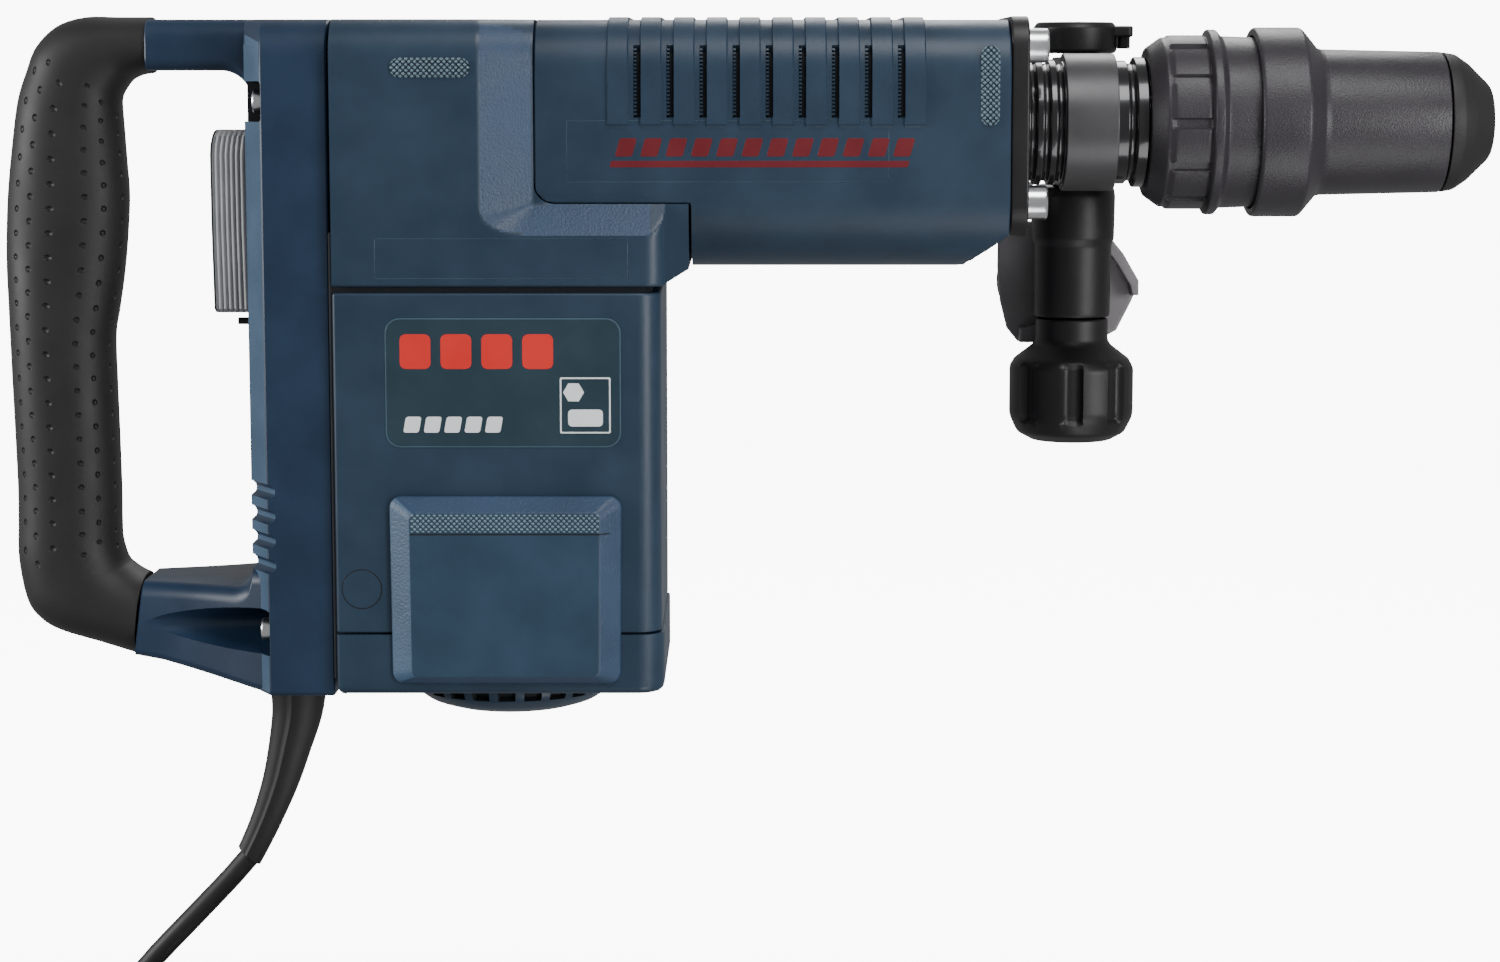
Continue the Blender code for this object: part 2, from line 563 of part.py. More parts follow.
def striking_parts():
    case = solid("crank_case", "cast_aluminium", box((-280.6, -31, -60.5), (-214.2, 31, 33)))
    cut(case, box((-278, -27.4, -26.5), (-216.8, 27.4, 30)))
    cut(case, box((-278, -27.4, -70), (-216.8, 27.4, -41)))
    cut(case, cylinder("Z", -50, -20, 8.8, (CRANK_X, 0), 20))
    join(case, cylinder("X", -216, FLANGE_REAR - GAP, 26.3, steps=24))
    for y, z in BOLT_PLACES:
        way = Vector((y, z)).normalized()
        side = Vector((-way.y, way.x)) * 5.5
        corners = [way * 20 - side, way * 40 - side, way * 45 - side * 0.5, way * 45 + side * 0.5, way * 40 + side,
                   way * 20 + side]
        join(case, prism([tuple(c) for c in corners], "X", -52, FLANGE_REAR - GAP))
    cut(case, cylinder("X", -222, 0, 22.4, steps=24))
    for place in BOLT_PLACES:
        cut(case, cylinder("X", -48, -20, 4.3, place, 12))

    solid("cylinder_tube", "bright_steel", tube("X", -206, -60, BORE_RADIUS, 22.0, steps=24))
    big_end = solid("connecting_rod", "bright_steel", connecting_rod())
    cut(big_end, cylinder("Z", -10, 10, 6.4, (CRANK_X - CRANK_THROW, 0), 16))
    cut(big_end, cylinder("Z", -10, 10, 4.3, (WRIST_X, 0), 12))
    solid("wrist_pin", "bright_steel", cylinder("Z", -11.5, 11.5, 4.0, (WRIST_X, 0), 12))
    crown = WRIST_X + 24
    piston = [(WRIST_X - 8, 0), (WRIST_X - 8, PISTON_RADIUS), (crown - 8, PISTON_RADIUS), (crown - 8, 15.6),
              (crown - 4.6, 15.6), (crown - 4.6, PISTON_RADIUS), (crown, PISTON_RADIUS), (crown, 0)]
    body = solid("piston", "cast_aluminium", turned(piston))
    cut(body, box((WRIST_X - 20, -10.5, -6.6), (WRIST_X + 11, 10.5, 6.6)))
    cut(body, cylinder("Z", -14, 14, 4.3, (WRIST_X, 0), 12))

    rear, front = -138.0, -98.0
    ram = [(rear, 0), (rear, PISTON_RADIUS), (rear + 8, PISTON_RADIUS), (rear + 8, 15.6), (rear + 11.4, 15.6),
           (rear + 11.4, PISTON_RADIUS), (front - 4, PISTON_RADIUS), (front, 13), (front, 0)]
    solid("striker", "bright_steel", turned(ram))
    bolt = [(-70, 0), (-70, 9), (-53, 9), (-50, 13.6), (-40, 13.6), (-37, 9), (-6, 9), (-6, 0)]
    solid("impact_bolt", "bright_steel", turned(bolt))
    guide = [(-59.6, 9.6), (-59.6, 22.0), (-31.8, 22.0), (-31.8, 14.2), (-55, 14.2), (-55, 9.6)]
    solid("impact_bolt_guide", "dark_steel", turned(guide))


def connecting_rod():
    """A bar with a round big end and small end, lying in the plane of the hammer axis."""
    big, small, shank = 9.4, 8.4, 5.2
    left, right = CRANK_X - CRANK_THROW, WRIST_X
    start = math.asin(shank / big)
    end = math.asin(shank / small)
    outline = [(left + big * math.cos(t), big * math.sin(t)) for t in
               [start + (math.tau - 2 * start) * i / 14 for i in range(15)]]
    outline += [(right + small * math.cos(t), small * math.sin(t)) for t in
                [-math.pi + end + (math.tau - 2 * end) * i / 10 for i in range(11)]]
    return prism(outline, "Z", -6, 6)


def gear_outline(teeth, centre, first_angle):
    """Involute flanks between a root and a tip circle; the teeth are thinned for backlash."""
    pitch = GEAR_MODULE * teeth / 2
    base = pitch * math.cos(math.radians(20))
    tip, root = pitch + 0.78 * GEAR_MODULE, pitch - 1.25 * GEAR_MODULE
    backlash = 0.22
    half_at_pitch = (math.pi * GEAR_MODULE / 4 - backlash / 2) / pitch

    def unwind(r):
        return math.sqrt(max((r / base) ** 2 - 1, 0.0)) - math.acos(min(1.0, base / r))

    radii = [root, max(base, root), tip]
    outline = []
    for n in range(teeth):
        middle = first_angle + math.tau * n / teeth
        halves = [half_at_pitch + unwind(pitch) - unwind(max(r, base)) for r in radii]
        halves[0] = halves[1]
        for r, h in zip(radii, halves):
            outline.append((centre[0] + r * math.cos(middle - h), centre[1] + r * math.sin(middle - h)))
        for r, h in zip(radii[::-1], halves[::-1]):
            outline.append((centre[0] + r * math.cos(middle + h), centre[1] + r * math.sin(middle + h)))
    return outline


def drive_parts():
    wheel = gear_outline(GEAR_TEETH, (CRANK_X, 0), math.pi / GEAR_TEETH)
    gear = solid("crank_gear", "bright_steel", prism(wheel, "Z", -58, -47))
    cut(gear, cylinder("Z", -70, -40, 8.8, (CRANK_X, 0)))
    shaft = [(-73, 0), (-73, 8.4), (-26, 8.4), (-26, 23), (-18, 23), (-18, 0)]
    crank = solid("crankshaft", "bright_steel", turned(shaft, "Z", (CRANK_X, 0)))
    join(crank, cylinder("Z", -20, -6.3, 6.0, (CRANK_X - CRANK_THROW, 0), 16))
    bracket = solid("bearing_bracket", "cast_aluminium", box((-280.6, -44, -75), (-168, 44, -65)))
    cut(bracket, cylinder("Z", -80, -60, 8.8, (CRANK_X, 0), 20), cylinder("Z", -90, -60, 13.3, (MOTOR_X, 0), 20))


def motor_parts():
    teeth = gear_outline(PINION_TEETH, (MOTOR_X, 0), math.pi)
    pinion = solid("armature_shaft", "bright_steel", prism(teeth, "Z", -60, -46))
    join(pinion, cylinder("Z", -210, -59, 5.0, (MOTOR_X, 0), 16))
    solid("armature_core", "lamination_steel", tube("Z", -160, -106, 5.4, 25.0, (MOTOR_X, 0), 24))
    solid("commutator", "copper_winding", tube("Z", -190, -168, 5.4, 16.5, (MOTOR_X, 0), 24))
    fan = solid("cooling_fan", "black_plastic", tube("Z", -97, -94, 5.4, 38.0, (MOTOR_X, 0), 24))
    for k in range(10):
        t = math.tau * k / 10
        c, s = math.cos(t), math.sin(t)
        blade = [(12, -0.9), (36, 5.1), (36, 6.9), (12, 0.9)]
        join(fan, prism([(MOTOR_X + a * c - b * s, a * s + b * c) for a, b in blade], "Z", -94.5, -86))
    solid("stator_core", "lamination_steel", tube("Z", -159, -107, 26.6, 46, (MOTOR_X, 0), 24))
    solid("armature_bearing", "bright_steel", tube("Z", -74.5, -66, 5.4, 13.0, (MOTOR_X, 0), 20))
    ring = solid("brush_holder", "brass", tube("Z", -192, -188, 20, 47, (MOTOR_X, 0), 24))
    for side, name in ((1, "carbon_brush_left"), (-1, "carbon_brush_right")):
        low, high = sorted((side * 17.0, side * 36.0))
        solid(name, "carbon", box((MOTOR_X - 4, low, -184), (MOTOR_X + 4, high, -174)))
        low, high = sorted((side * 21.0, side * 47.0))
        join(ring, box((MOTOR_X - 6.5, low, -190), (MOTOR_X + 6.5, high, -171)))
    cut(ring, box((MOTOR_X - 4.4, -60, -184.4), (MOTOR_X + 4.4, 60, -173.6)))


# ---------------------------------------------------------------- mains cord


# The cord's own route, in order from the strain relief to the coil
CORD_ROUTE = [
    (-326.5, 0, -288.5), (-333.0, 0, -296.0), (-341.5, 0, -305.0), (-353.0, 0, -317.0), (-364.0, 0, -328.5),
    (-374.5, -1, -341.0), (-384.0, -5, -354.5), (-391.5, -14, -366.0), (-393.5, -30, -371.0), (-390.0, -50, -371.7),
    (-380.0, -72, -371.7), (-362.0, -91, -371.7), (-339.0, -99.0, -371.7), (-318.0, -99.3, -371.7),
]


def smooth_route(route, spacing):
    """Points about spacing apart on the Catmull-Rom curve through the route's own points."""
    line = []
    padded = [route[0]] + route + [route[-1]]
    for a, b, c, d in zip(padded, padded[1:], padded[2:], padded[3:]):
        a, b, c, d = (Vector(p) for p in (a, b, c, d))
        steps = max(1, round((c - b).length / spacing))
        for i in range(steps):
            t = i / steps
            line.append(0.5 * (2 * b + (c - a) * t + (2 * a - 5 * b + 4 * c - d) * t**2
                               + (3 * b - a - 3 * c + d) * t**3))
    return line + [Vector(route[-1])]


# Centre, way in degrees and radius of the strain relief's round body, from the casing down
BOOT_STATIONS = [
    (-306.0, -215.4, 270, 9.5), (-306.2, -226, 268, 10.2), (-309.6, -243, 256, 8.4), (-313.4, -258, 252, 7.3),
    (-318.2, -270, 247, 6.3), (-326.0, -287.6, 230, 5.8),
]


def cord_parts():
    loops = []
    for x, z, way, radius in BOOT_STATIONS:
        t = math.radians(way)
        across = Vector((math.sin(t), 0, -math.cos(t)))
        loops.append([(x + across.x * radius * math.cos(a), radius * math.sin(a), z + across.z * radius * math.cos(a))
                      for a in [math.tau * k / 12 for k in range(12)]])
    boot = solid("cord_boot", "black_rubber", stack(loops))
    join(boot, cylinder("Z", -217, -206, 5.8, (-301, 0), 16))

    curve = bpy.data.curves.new("mains_cord", "CURVE")
    curve.dimensions = "3D"
    curve.bevel_depth = CORD_RADIUS * MM
    curve.bevel_resolution = 2
    curve.use_fill_caps = True
    spline = curve.splines.new("POLY")
    line = smooth_route([tuple(p) for p in CORD_ROUTE], 18)
    start = Vector(CORD_ROUTE[0])
    line = [start + (line[1] - start).normalized() * 3.2] + line[1:]
    spline.points.add(len(line) - 1)
    for point, place in zip(spline.points, line):
        point.co = (*(place * MM), 1)
    cord = bpy.data.objects.new("mains_cord", curve)
    bpy.context.scene.collection.objects.link(cord)
    curve.materials.append(material("black_rubber"))

    solid("cord_coil", "black_rubber",
          tube("Z", FLOOR_Z, FLOOR_Z + COIL_HEIGHT, COIL_INNER, COIL_OUTER, COIL_CENTRE, 28))
    plug_parts()


def plug_parts():
    """A moulded two-pin plug lying on the coil."""
    cx, cy = COIL_CENTRE
    z = FLOOR_Z + COIL_HEIGHT + 9.5
    levels = [(cx + 4, 5.0, 5.0), (cx + 22, 6.5, 6.0), (cx + 27, 12, 8.0), (cx + 46, 17, 9.0), (cx + 50, 17, 9.0)]
    loops = []
    for x, half_y, half_z in levels:
        loops.append([(x, cy - 36 + a, z + b) for a, b in rounded((-half_y, -half_z), (half_y, half_z),
                                                                   (half_z * 0.6,) * 4, 2)])
    plug = solid("mains_plug", "black_rubber", stack(loops))
    for dy in (-9.5, 9.5):
        join(plug, cylinder("X", cx + 48, cx + 69, 2.0, (cy - 36 + dy, z), 10))


# ---------------------------------------------------------------- assembly


def build():
    for obj in list(bpy.data.objects):
        bpy.data.objects.remove(obj, do_unlink=True)
    handle_shell("handle_shell_right", -1)
    handle_shell("handle_shell_left", 1)
    rear_grip()
    switch_parts()
    handle_screws()
    gear_housing()
    barrel_cover()
    motor_casings()
    brush_cover("brush_cover_right", -1)
    brush_cover("brush_cover_left", 1)
    front_end()
    side_handle()
    tool_holder()
    striking_parts()
    drive_parts()
    motor_parts()
    cord_parts()


build()
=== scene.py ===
import json
import math

import bpy
import numpy as np
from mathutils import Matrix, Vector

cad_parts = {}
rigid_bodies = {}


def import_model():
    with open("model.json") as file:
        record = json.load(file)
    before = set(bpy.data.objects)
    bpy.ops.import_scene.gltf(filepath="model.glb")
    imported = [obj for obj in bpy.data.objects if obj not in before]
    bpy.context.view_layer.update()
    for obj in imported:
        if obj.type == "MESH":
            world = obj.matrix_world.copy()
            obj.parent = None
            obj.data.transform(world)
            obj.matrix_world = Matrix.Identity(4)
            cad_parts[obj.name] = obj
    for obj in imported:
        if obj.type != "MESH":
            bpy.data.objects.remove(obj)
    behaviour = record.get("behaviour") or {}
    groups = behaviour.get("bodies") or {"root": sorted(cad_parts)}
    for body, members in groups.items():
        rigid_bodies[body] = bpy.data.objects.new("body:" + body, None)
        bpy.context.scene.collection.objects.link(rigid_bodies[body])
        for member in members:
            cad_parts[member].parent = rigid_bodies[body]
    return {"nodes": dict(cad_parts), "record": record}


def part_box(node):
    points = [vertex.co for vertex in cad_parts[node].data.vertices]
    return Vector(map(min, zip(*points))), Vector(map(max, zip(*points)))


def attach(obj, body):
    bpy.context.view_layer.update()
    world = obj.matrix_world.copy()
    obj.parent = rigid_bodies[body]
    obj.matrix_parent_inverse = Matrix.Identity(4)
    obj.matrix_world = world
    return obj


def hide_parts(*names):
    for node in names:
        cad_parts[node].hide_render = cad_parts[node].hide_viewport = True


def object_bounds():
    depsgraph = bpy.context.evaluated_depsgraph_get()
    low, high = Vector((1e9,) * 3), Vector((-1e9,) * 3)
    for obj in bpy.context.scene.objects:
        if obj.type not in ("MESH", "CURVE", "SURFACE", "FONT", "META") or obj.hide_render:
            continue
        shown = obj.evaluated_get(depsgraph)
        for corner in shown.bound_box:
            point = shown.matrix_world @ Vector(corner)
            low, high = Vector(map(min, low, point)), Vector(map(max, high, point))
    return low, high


for thing in list(bpy.data.objects):
    bpy.data.objects.remove(thing, do_unlink=True)
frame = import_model()
cad_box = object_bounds()
MM = 0.001


# ---------------------------------------------------------------- camera, floor and light
# A long lens, level with the barrel and tipped 7 degrees down. The tool hangs in the air as it is stored,
# and its coiled cord lies on a pale floor below the picture.

scene = bpy.context.scene
camera_data = bpy.data.cameras.new("camera")
camera_data.lens = 80
camera_data.sensor_width = 36
camera = bpy.data.objects.new("camera", camera_data)
camera.location = (-0.1287, -1.2903, 0.0193)
camera.rotation_euler = (math.radians(83), 0, 0)
scene.collection.objects.link(camera)
scene.camera = camera

world = bpy.data.worlds.new("studio")
world.use_nodes = True
world.node_tree.nodes["Background"].inputs["Color"].default_value = (1, 1, 1, 1)
world.node_tree.nodes["Background"].inputs["Strength"].default_value = 0.36
scene.world = world


def area_light(name, place, target, size, power):
    """A square soft light at place, turned to face target."""
    data = bpy.data.lights.new(name, "AREA")
    data.size = size
    data.energy = power
    lamp = bpy.data.objects.new(name, data)
    lamp.location = place
    way = np.subtract(target, place)
    lamp.rotation_euler = (math.acos(-way[2] / np.linalg.norm(way)), 0, math.atan2(-way[0], way[1]))
    scene.collection.objects.link(lamp)


area_light("key", (0.25, -0.75, 1.2), (-0.05, 0, -0.05), 0.7, 18)
area_light("right", (0.9, -1.0, 0.05), (-0.02, 0, -0.05), 0.6, 15)
area_light("left", (-1.7, -0.35, 0.2), (-0.3, 0, -0.05), 0.6, 28)
area_light("under", (0.35, -0.7, -0.9), (0.0, 0, -0.02), 0.6, 6)
area_light("rim", (0.1, 1.1, 0.9), (-0.1, 0, 0), 0.7, 10)


def mesh_object(name, points, faces, smooth=35.0):
    """points in millimetres (any array that ends in 3), faces as index tuples."""
    mesh = bpy.data.meshes.new(name)
    mesh.from_pydata((np.asarray(points, float).reshape(-1, 3) * MM).tolist(), [], faces)
    mesh.validate()
    mesh.shade_smooth()
    mesh.set_sharp_from_angle(angle=math.radians(smooth))
    obj = bpy.data.objects.new(name, mesh)
    scene.collection.objects.link(obj)
    return obj


def quads(rows, columns, start=0, closed=True):
    """Faces of a grid of rows by columns of points, closed round each row or open."""
    r = np.arange(rows - 1)[:, None] * columns
    c = np.arange(columns if closed else columns - 1)[None, :]
    d = (c + 1) % columns
    faces = np.stack([r + c, r + d, r + columns + d, r + columns + c], -1).reshape(-1, 4) + start
    return faces.tolist()


floor_z = cad_box[0][2] / MM - 0.4
bend = np.linspace(0, math.pi / 2, 25)
sweep_yz = np.vstack([[-6e3, floor_z], np.c_[2200 + 900 * np.sin(bend), floor_z + 900 * (1 - np.cos(bend))],
                      [3100, 5e3]])
floor = mesh_object("floor", [[(x, y, z) for x in (-6e3, 6e3)] for y, z in sweep_yz],
                    [f[::-1] for f in quads(len(sweep_yz), 2, closed=False)])
floor_paint = bpy.data.materials.new("floor_paint")
floor_paint.use_nodes = True
paint_tree = floor_paint.node_tree
paint = paint_tree.nodes["Principled BSDF"]
paint.inputs["Base Color"].default_value = (0.9, 0.9, 0.9, 1)
paint.inputs["Roughness"].default_value = 0.9
paint.inputs["Emission Color"].default_value = (1, 1, 1, 1)
floor_split = paint_tree.nodes.new("ShaderNodeSeparateXYZ")
floor_glow = paint_tree.nodes.new("ShaderNodeMapRange")
floor_glow.interpolation_type = "SMOOTHSTEP"
floor_glow.inputs["From Min"].default_value = -0.1
floor_glow.inputs["From Max"].default_value = 0.2
floor_glow.inputs["To Max"].default_value = 9.0
paint_tree.links.new(paint_tree.nodes.new("ShaderNodeTexCoord").outputs["Object"],
                     floor_split.inputs["Vector"])
paint_tree.links.new(floor_split.outputs["Y"], floor_glow.inputs["Value"])
paint_tree.links.new(floor_glow.outputs["Result"], paint.inputs["Emission Strength"])
floor.data.materials.append(floor_paint)
floor.visible_diffuse = False
floor.visible_glossy = False
floor.visible_shadow = False


# ---------------------------------------------------------------- mains cord
# 4 m of rubber cord, 8.5 mm thick: it hangs from the strain relief to the floor, where it is wound in three
# layers of four turns and tied. Its end has a moulded two-pin plug.


def shells(name, stacks, smooth=35.0, weighted=True):
    """A piece made of closed shells. Each is an array of loops, rows by points by 3, with its ends capped."""
    points, faces = [], []
    count = 0
    for loops in stacks:
        loops = np.asarray(loops, float)
        rows, columns = loops.shape[:2]
        volume = np.cross(loops[rows // 2, 1:-1] - loops[rows // 2, :1],
                          loops[rows // 2, 2:] - loops[rows // 2, :1])
        if (volume.sum(0) @ (loops[-1].mean(0) - loops[0].mean(0))) < 0:
            loops = loops[:, ::-1]
        faces += quads(rows, columns, count)
        faces.append(list(range(count + columns - 1, count - 1, -1)))
        faces.append(list(range(count + (rows - 1) * columns, count + rows * columns)))
        points.append(loops.reshape(-1, 3))
        count += rows * columns
    obj = mesh_object(name, np.concatenate(points), faces, smooth)
    if weighted:
        obj.modifiers.new("even_normals", "WEIGHTED_NORMAL").keep_sharp = True
    return obj


def finish_piece(obj, material, body="casing", nodes=()):
    """The piece gets its material, its body and the CAD nodes that it stands for."""
    obj.data.materials.clear()
    obj.data.materials.append(material)
    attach(obj, body)
    if nodes:
        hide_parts(*nodes)
    return obj


def surface(name, colour, roughness, metallic=0.0, grain=0.25, height=0.06, vary=0.12, coat=0.0):
    """A finish: broad noise moves its colour and roughness, and fine noise of grain millimetres its bump."""
    made = bpy.data.materials.new(name)
    made.use_nodes = True
    tree = made.node_tree
    shader = tree.nodes["Principled BSDF"]
    place = tree.nodes.new("ShaderNodeTexCoord").outputs["Object"]

    def noise(scale, detail):
        node = tree.nodes.new("ShaderNodeTexNoise")
        node.inputs["Scale"].default_value = scale
        node.inputs["Detail"].default_value = detail
        tree.links.new(place, node.inputs["Vector"])
        return node.outputs["Fac"]

    def spread(source, low, high):
        node = tree.nodes.new("ShaderNodeMapRange")
        node.inputs["From Min"].default_value = 0.3
        node.inputs["From Max"].default_value = 0.7
        node.inputs["To Min"].default_value = low
        node.inputs["To Max"].default_value = high
        tree.links.new(source, node.inputs["Value"])
        return node.outputs["Result"]

    broad = noise(45, 4)
    fine = noise(1000 / grain, 2)
    mix = tree.nodes.new("ShaderNodeMix")
    mix.data_type = "RGBA"
    mix.inputs["A"].default_value = (*[c * (1 - vary) for c in colour], 1)
    mix.inputs["B"].default_value = (*[min(1, c * (1 + vary)) for c in colour], 1)
    tree.links.new(spread(broad, 0, 1), mix.inputs["Factor"])
    tree.links.new(mix.outputs["Result"], shader.inputs["Base Color"])
    tree.links.new(spread(broad, roughness - 0.05, roughness + 0.05), shader.inputs["Roughness"])
    shader.inputs["Metallic"].default_value = metallic
    shader.inputs["Coat Weight"].default_value = coat
    shader.inputs["Specular IOR Level"].default_value = 0.5 if metallic else 0.32
    bump = tree.nodes.new("ShaderNodeBump")
    bump.inputs["Strength"].default_value = 0.35
    bump.inputs["Distance"].default_value = height * MM
    tree.links.new(fine, bump.inputs["Height"])
    tree.links.new(bump.outputs["Normal"], shader.inputs["Normal"])
    return made


rubber = surface("rubber", (0.0113, 0.0103, 0.0108), 0.55, grain=0.35, height=0.08)

CORD = 8.5
coil_low, coil_high = (np.array(corner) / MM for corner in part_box("cord_coil"))
coil_centre = (coil_low + coil_high) / 2
ROUTE = np.array([
    (-326.5, 0, -288.5), (-333.0, 0, -296.0), (-341.5, 0, -305.0), (-353.0, 0, -317.0),
    (-364.0, 0, -328.5), (-374.5, -1, -341.0), (-384.0, -5, -354.5), (-391.5, -14, -366.0),
    (-393.5, -30, -371.0), (-390.0, -50, -371.7), (-380.0, -72, -371.7), (-362.0, -91, -371.7),
    (-339.0, -99.0, -371.7), (-318.0, -99.3, -371.7),
])


def smooth_route(route, spacing):
    """Points about spacing apart on the Catmull-Rom curve through the route's own points."""
    padded = np.vstack([route[:1], route, route[-1:]])
    line = []
    for a, b, c, d in zip(padded, padded[1:], padded[2:], padded[3:]):
        steps = max(1, round(float(np.linalg.norm(c - b)) / spacing))
        t = np.arange(steps)[:, None] / steps
        line.append(0.5 * (2 * b + (c - a) * t + (2 * a - 5 * b + 4 * c - d) * t**2
                           + (3 * b - a - 3 * c + d) * t**3))
    return np.vstack(line + [route[-1:]])


def coil_turns():
    """Turns side by side in each layer; the radius steps by one cord over the last fifth of a turn."""
    radii = [59.75, 51.25, 42.75, 34.25]
    wanted = [(r, 0) for r in radii] + [(r, 1) for r in radii[::-1]] + [(r, 2) for r in radii]
    start = math.radians(-96.5)
    turn = np.arange(0, len(wanted) - 0.4, 1 / 24)
    index = np.minimum(turn.astype(int), len(wanted) - 1)
    part = turn - index
    ramp = np.clip((part - 0.78) / 0.22, 0, 1)
    ramp = ramp * ramp * (3 - 2 * ramp)
    table = np.array([(r, coil_low[2] + 4.25 + 8.5 * layer) for r, layer in wanted + [wanted[-1]]])
    ring = table[index] * (1 - ramp[:, None]) + table[index + 1] * ramp[:, None]
    radius = ring[:, 0] + np.clip(1 - turn / 0.5, 0, 1) ** 2 * 9.9
    angle = start + turn * math.tau
    return np.stack([coil_centre[0] + radius * np.cos(angle), coil_centre[1] + radius * np.sin(angle),
                     ring[:, 1]], 1)


turns = coil_turns()
plug_low, plug_high = (np.array(corner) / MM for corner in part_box("mains_plug"))
plug_z = (plug_low[2] + plug_high[2]) / 2
plug_y = (plug_low[1] + plug_high[1]) / 2
last_angle = math.atan2(turns[-1, 1] - coil_centre[1], turns[-1, 0] - coil_centre[0])
sweep = np.linspace(last_angle, math.radians(-90 if last_angle < 0 else 270), 12)[1:]
lift = np.linspace(0, 1, 11)
lift = lift * lift * (3 - 2 * lift)
run = np.stack([coil_centre[0] + 35.5 * np.cos(sweep), coil_centre[1] + 35.5 * np.sin(sweep),
                turns[-1, 2] * (1 - lift) + plug_z * lift], 1)
tail = np.array([(plug_low[0] - 1, plug_y, plug_z), (plug_low[0] + 1.5, plug_y, plug_z)])
line = np.vstack([smooth_route(ROUTE, 7)[:-1], turns, run[:-1], tail])
keep = np.r_[True, np.linalg.norm(np.diff(line, axis=0), axis=1) > 0.8]
line = line[keep]
cord_curve = bpy.data.curves.new("mains_cord_whole", "CURVE")
cord_curve.dimensions = "3D"
cord_curve.bevel_depth = CORD / 2 * MM
cord_curve.bevel_resolution = 5
cord_curve.use_fill_caps = True
spline = cord_curve.splines.new("POLY")
spline.points.add(len(line) - 1)
spline.points.foreach_set("co", np.c_[line * MM, np.ones(len(line))].ravel())
cord = bpy.data.objects.new("mains_cord_whole", cord_curve)
scene.collection.objects.link(cord)
cord_curve.materials.append(rubber)
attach(cord, "casing")
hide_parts("mains_cord", "cord_coil")


def rounded_box(low, high, radii, steps=6):
    """Outline of a rectangle with a radius at each corner, from the low corner anticlockwise."""
    corners = [(low[0], low[1]), (high[0], low[1]), (high[0], high[1]), (low[0], high[1])]
    points = []
    for k, ((a, b), r) in enumerate(zip(corners, radii)):
        t = np.linspace(math.pi + k * math.pi / 2, math.pi * 1.5 + k * math.pi / 2, steps + 1)
        ca = a + (r if k in (0, 3) else -r)
        cb = b + (r if k in (0, 1) else -r)
        points.append(np.stack([ca + r * np.cos(t), cb + r * np.sin(t)], 1))
    return np.concatenate(points)


def put(axis, along, outline):
    """An outline of two columns, set on the plane at along on an axis; its columns go on the other two."""
    outline = np.asarray(outline, float)
    full = np.empty((len(outline), 3))
    k = "XYZ".index(axis)
    rest = [i for i in range(3) if i != k]
    full[:, k] = along
    full[:, rest[0]] = outline[:, 0]
    full[:, rest[1]] = outline[:, 1]
    return full


def inset(outline, amount):
    """The outline moved inwards by amount, each point along the bisector of its two sides."""
    outline = np.asarray(outline, float)
    before = outline - np.roll(outline, 1, 0)
    after = np.roll(outline, -1, 0) - outline
    before /= np.maximum(np.linalg.norm(before, axis=1, keepdims=True), 1e-9)
    after /= np.maximum(np.linalg.norm(after, axis=1, keepdims=True), 1e-9)
    way = before + after
    way /= np.maximum(np.linalg.norm(way, axis=1, keepdims=True), 1e-9)
    area = np.sum(outline[:, 0] * np.roll(outline[:, 1], -1) - outline[:, 1] * np.roll(outline[:, 0], -1))
    normal = np.stack([-way[:, 1], way[:, 0]], 1) * (1 if area > 0 else -1)
    stretch = 1 / np.clip(np.abs(np.sum(way * before, 1)), 0.5, 1)
    return outline + normal * amount * stretch[:, None]


def slab(outline, axis, low, high, edge=0.8, edges=(True, True)):
    """Loops of a plate with the given outline, its two rims rounded by edge over a quarter circle."""
    t = np.linspace(0, math.pi / 2, 4)
    rows = []
    if edges[0]:
        rows += [put(axis, low + edge * (1 - math.sin(a)), inset(outline, edge * (1 - math.cos(a))))
                 for a in t[::-1]]
    else:
        rows.append(put(axis, low, outline))
    if edges[1]:
        rows += [put(axis, high - edge * (1 - math.sin(a)), inset(outline, edge * (1 - math.cos(a))))
                 for a in t]
    else:
        rows.append(put(axis, high, outline))
    return np.array(rows)


def plug_loops():
    """Rounded rectangles along X whose half sizes grow from the neck to the face."""
    x = np.array([0, 1, 6, 10, 14, 18, 21, 24, 28, 34, 40, 44, 46])
    half_y = np.array([5.0, 5.6, 5.9, 6.2, 6.6, 7.5, 10, 12.6, 14.2, 15.6, 16.6, 17, 16.6])
    half_z = np.array([5.0, 5.6, 5.9, 6.0, 6.2, 6.6, 7.4, 8.2, 8.7, 9.0, 9.0, 9.0, 8.6])
    return np.array([put("X", plug_low[0] + a,
                         rounded_box((plug_y - b, plug_z - c), (plug_y + b, plug_z + c), (c * 0.7,) * 4))
                     for a, b, c in zip(x, half_y, half_z)])


plug = finish_piece(shells("plug_body", [plug_loops()], 50), rubber, nodes=["mains_plug"])


def round_loops(profile, axis="X", centre=(0, 0), count=72, turn=0.0):
    """Loops of a turned solid: profile rows are (along, radius)."""
    t = np.linspace(0, math.tau, count, endpoint=False) + turn
    ring = np.stack([np.cos(t), np.sin(t)], 1)
    return np.array([put(axis, a, np.asarray(centre) + ring * max(r, 0.01)) for a, r in profile])


def soften(profile, radius=0.5, steps=3):
    """The profile with each corner replaced by an arc-like curve that starts radius away from it."""
    profile = np.asarray(profile, float)
    out = [profile[0]]
    for a, b, c in zip(profile, profile[1:], profile[2:]):
        la, lc = np.linalg.norm(a - b), np.linalg.norm(c - b)
        p, q = b + (a - b) * min(radius / la, 0.45), b + (c - b) * min(radius / lc, 0.45)
        for t in np.linspace(0, 1, steps + 1):
            out.append((1 - t) ** 2 * p + 2 * t * (1 - t) * b + t**2 * q)
    return np.array(out + [profile[-1]])


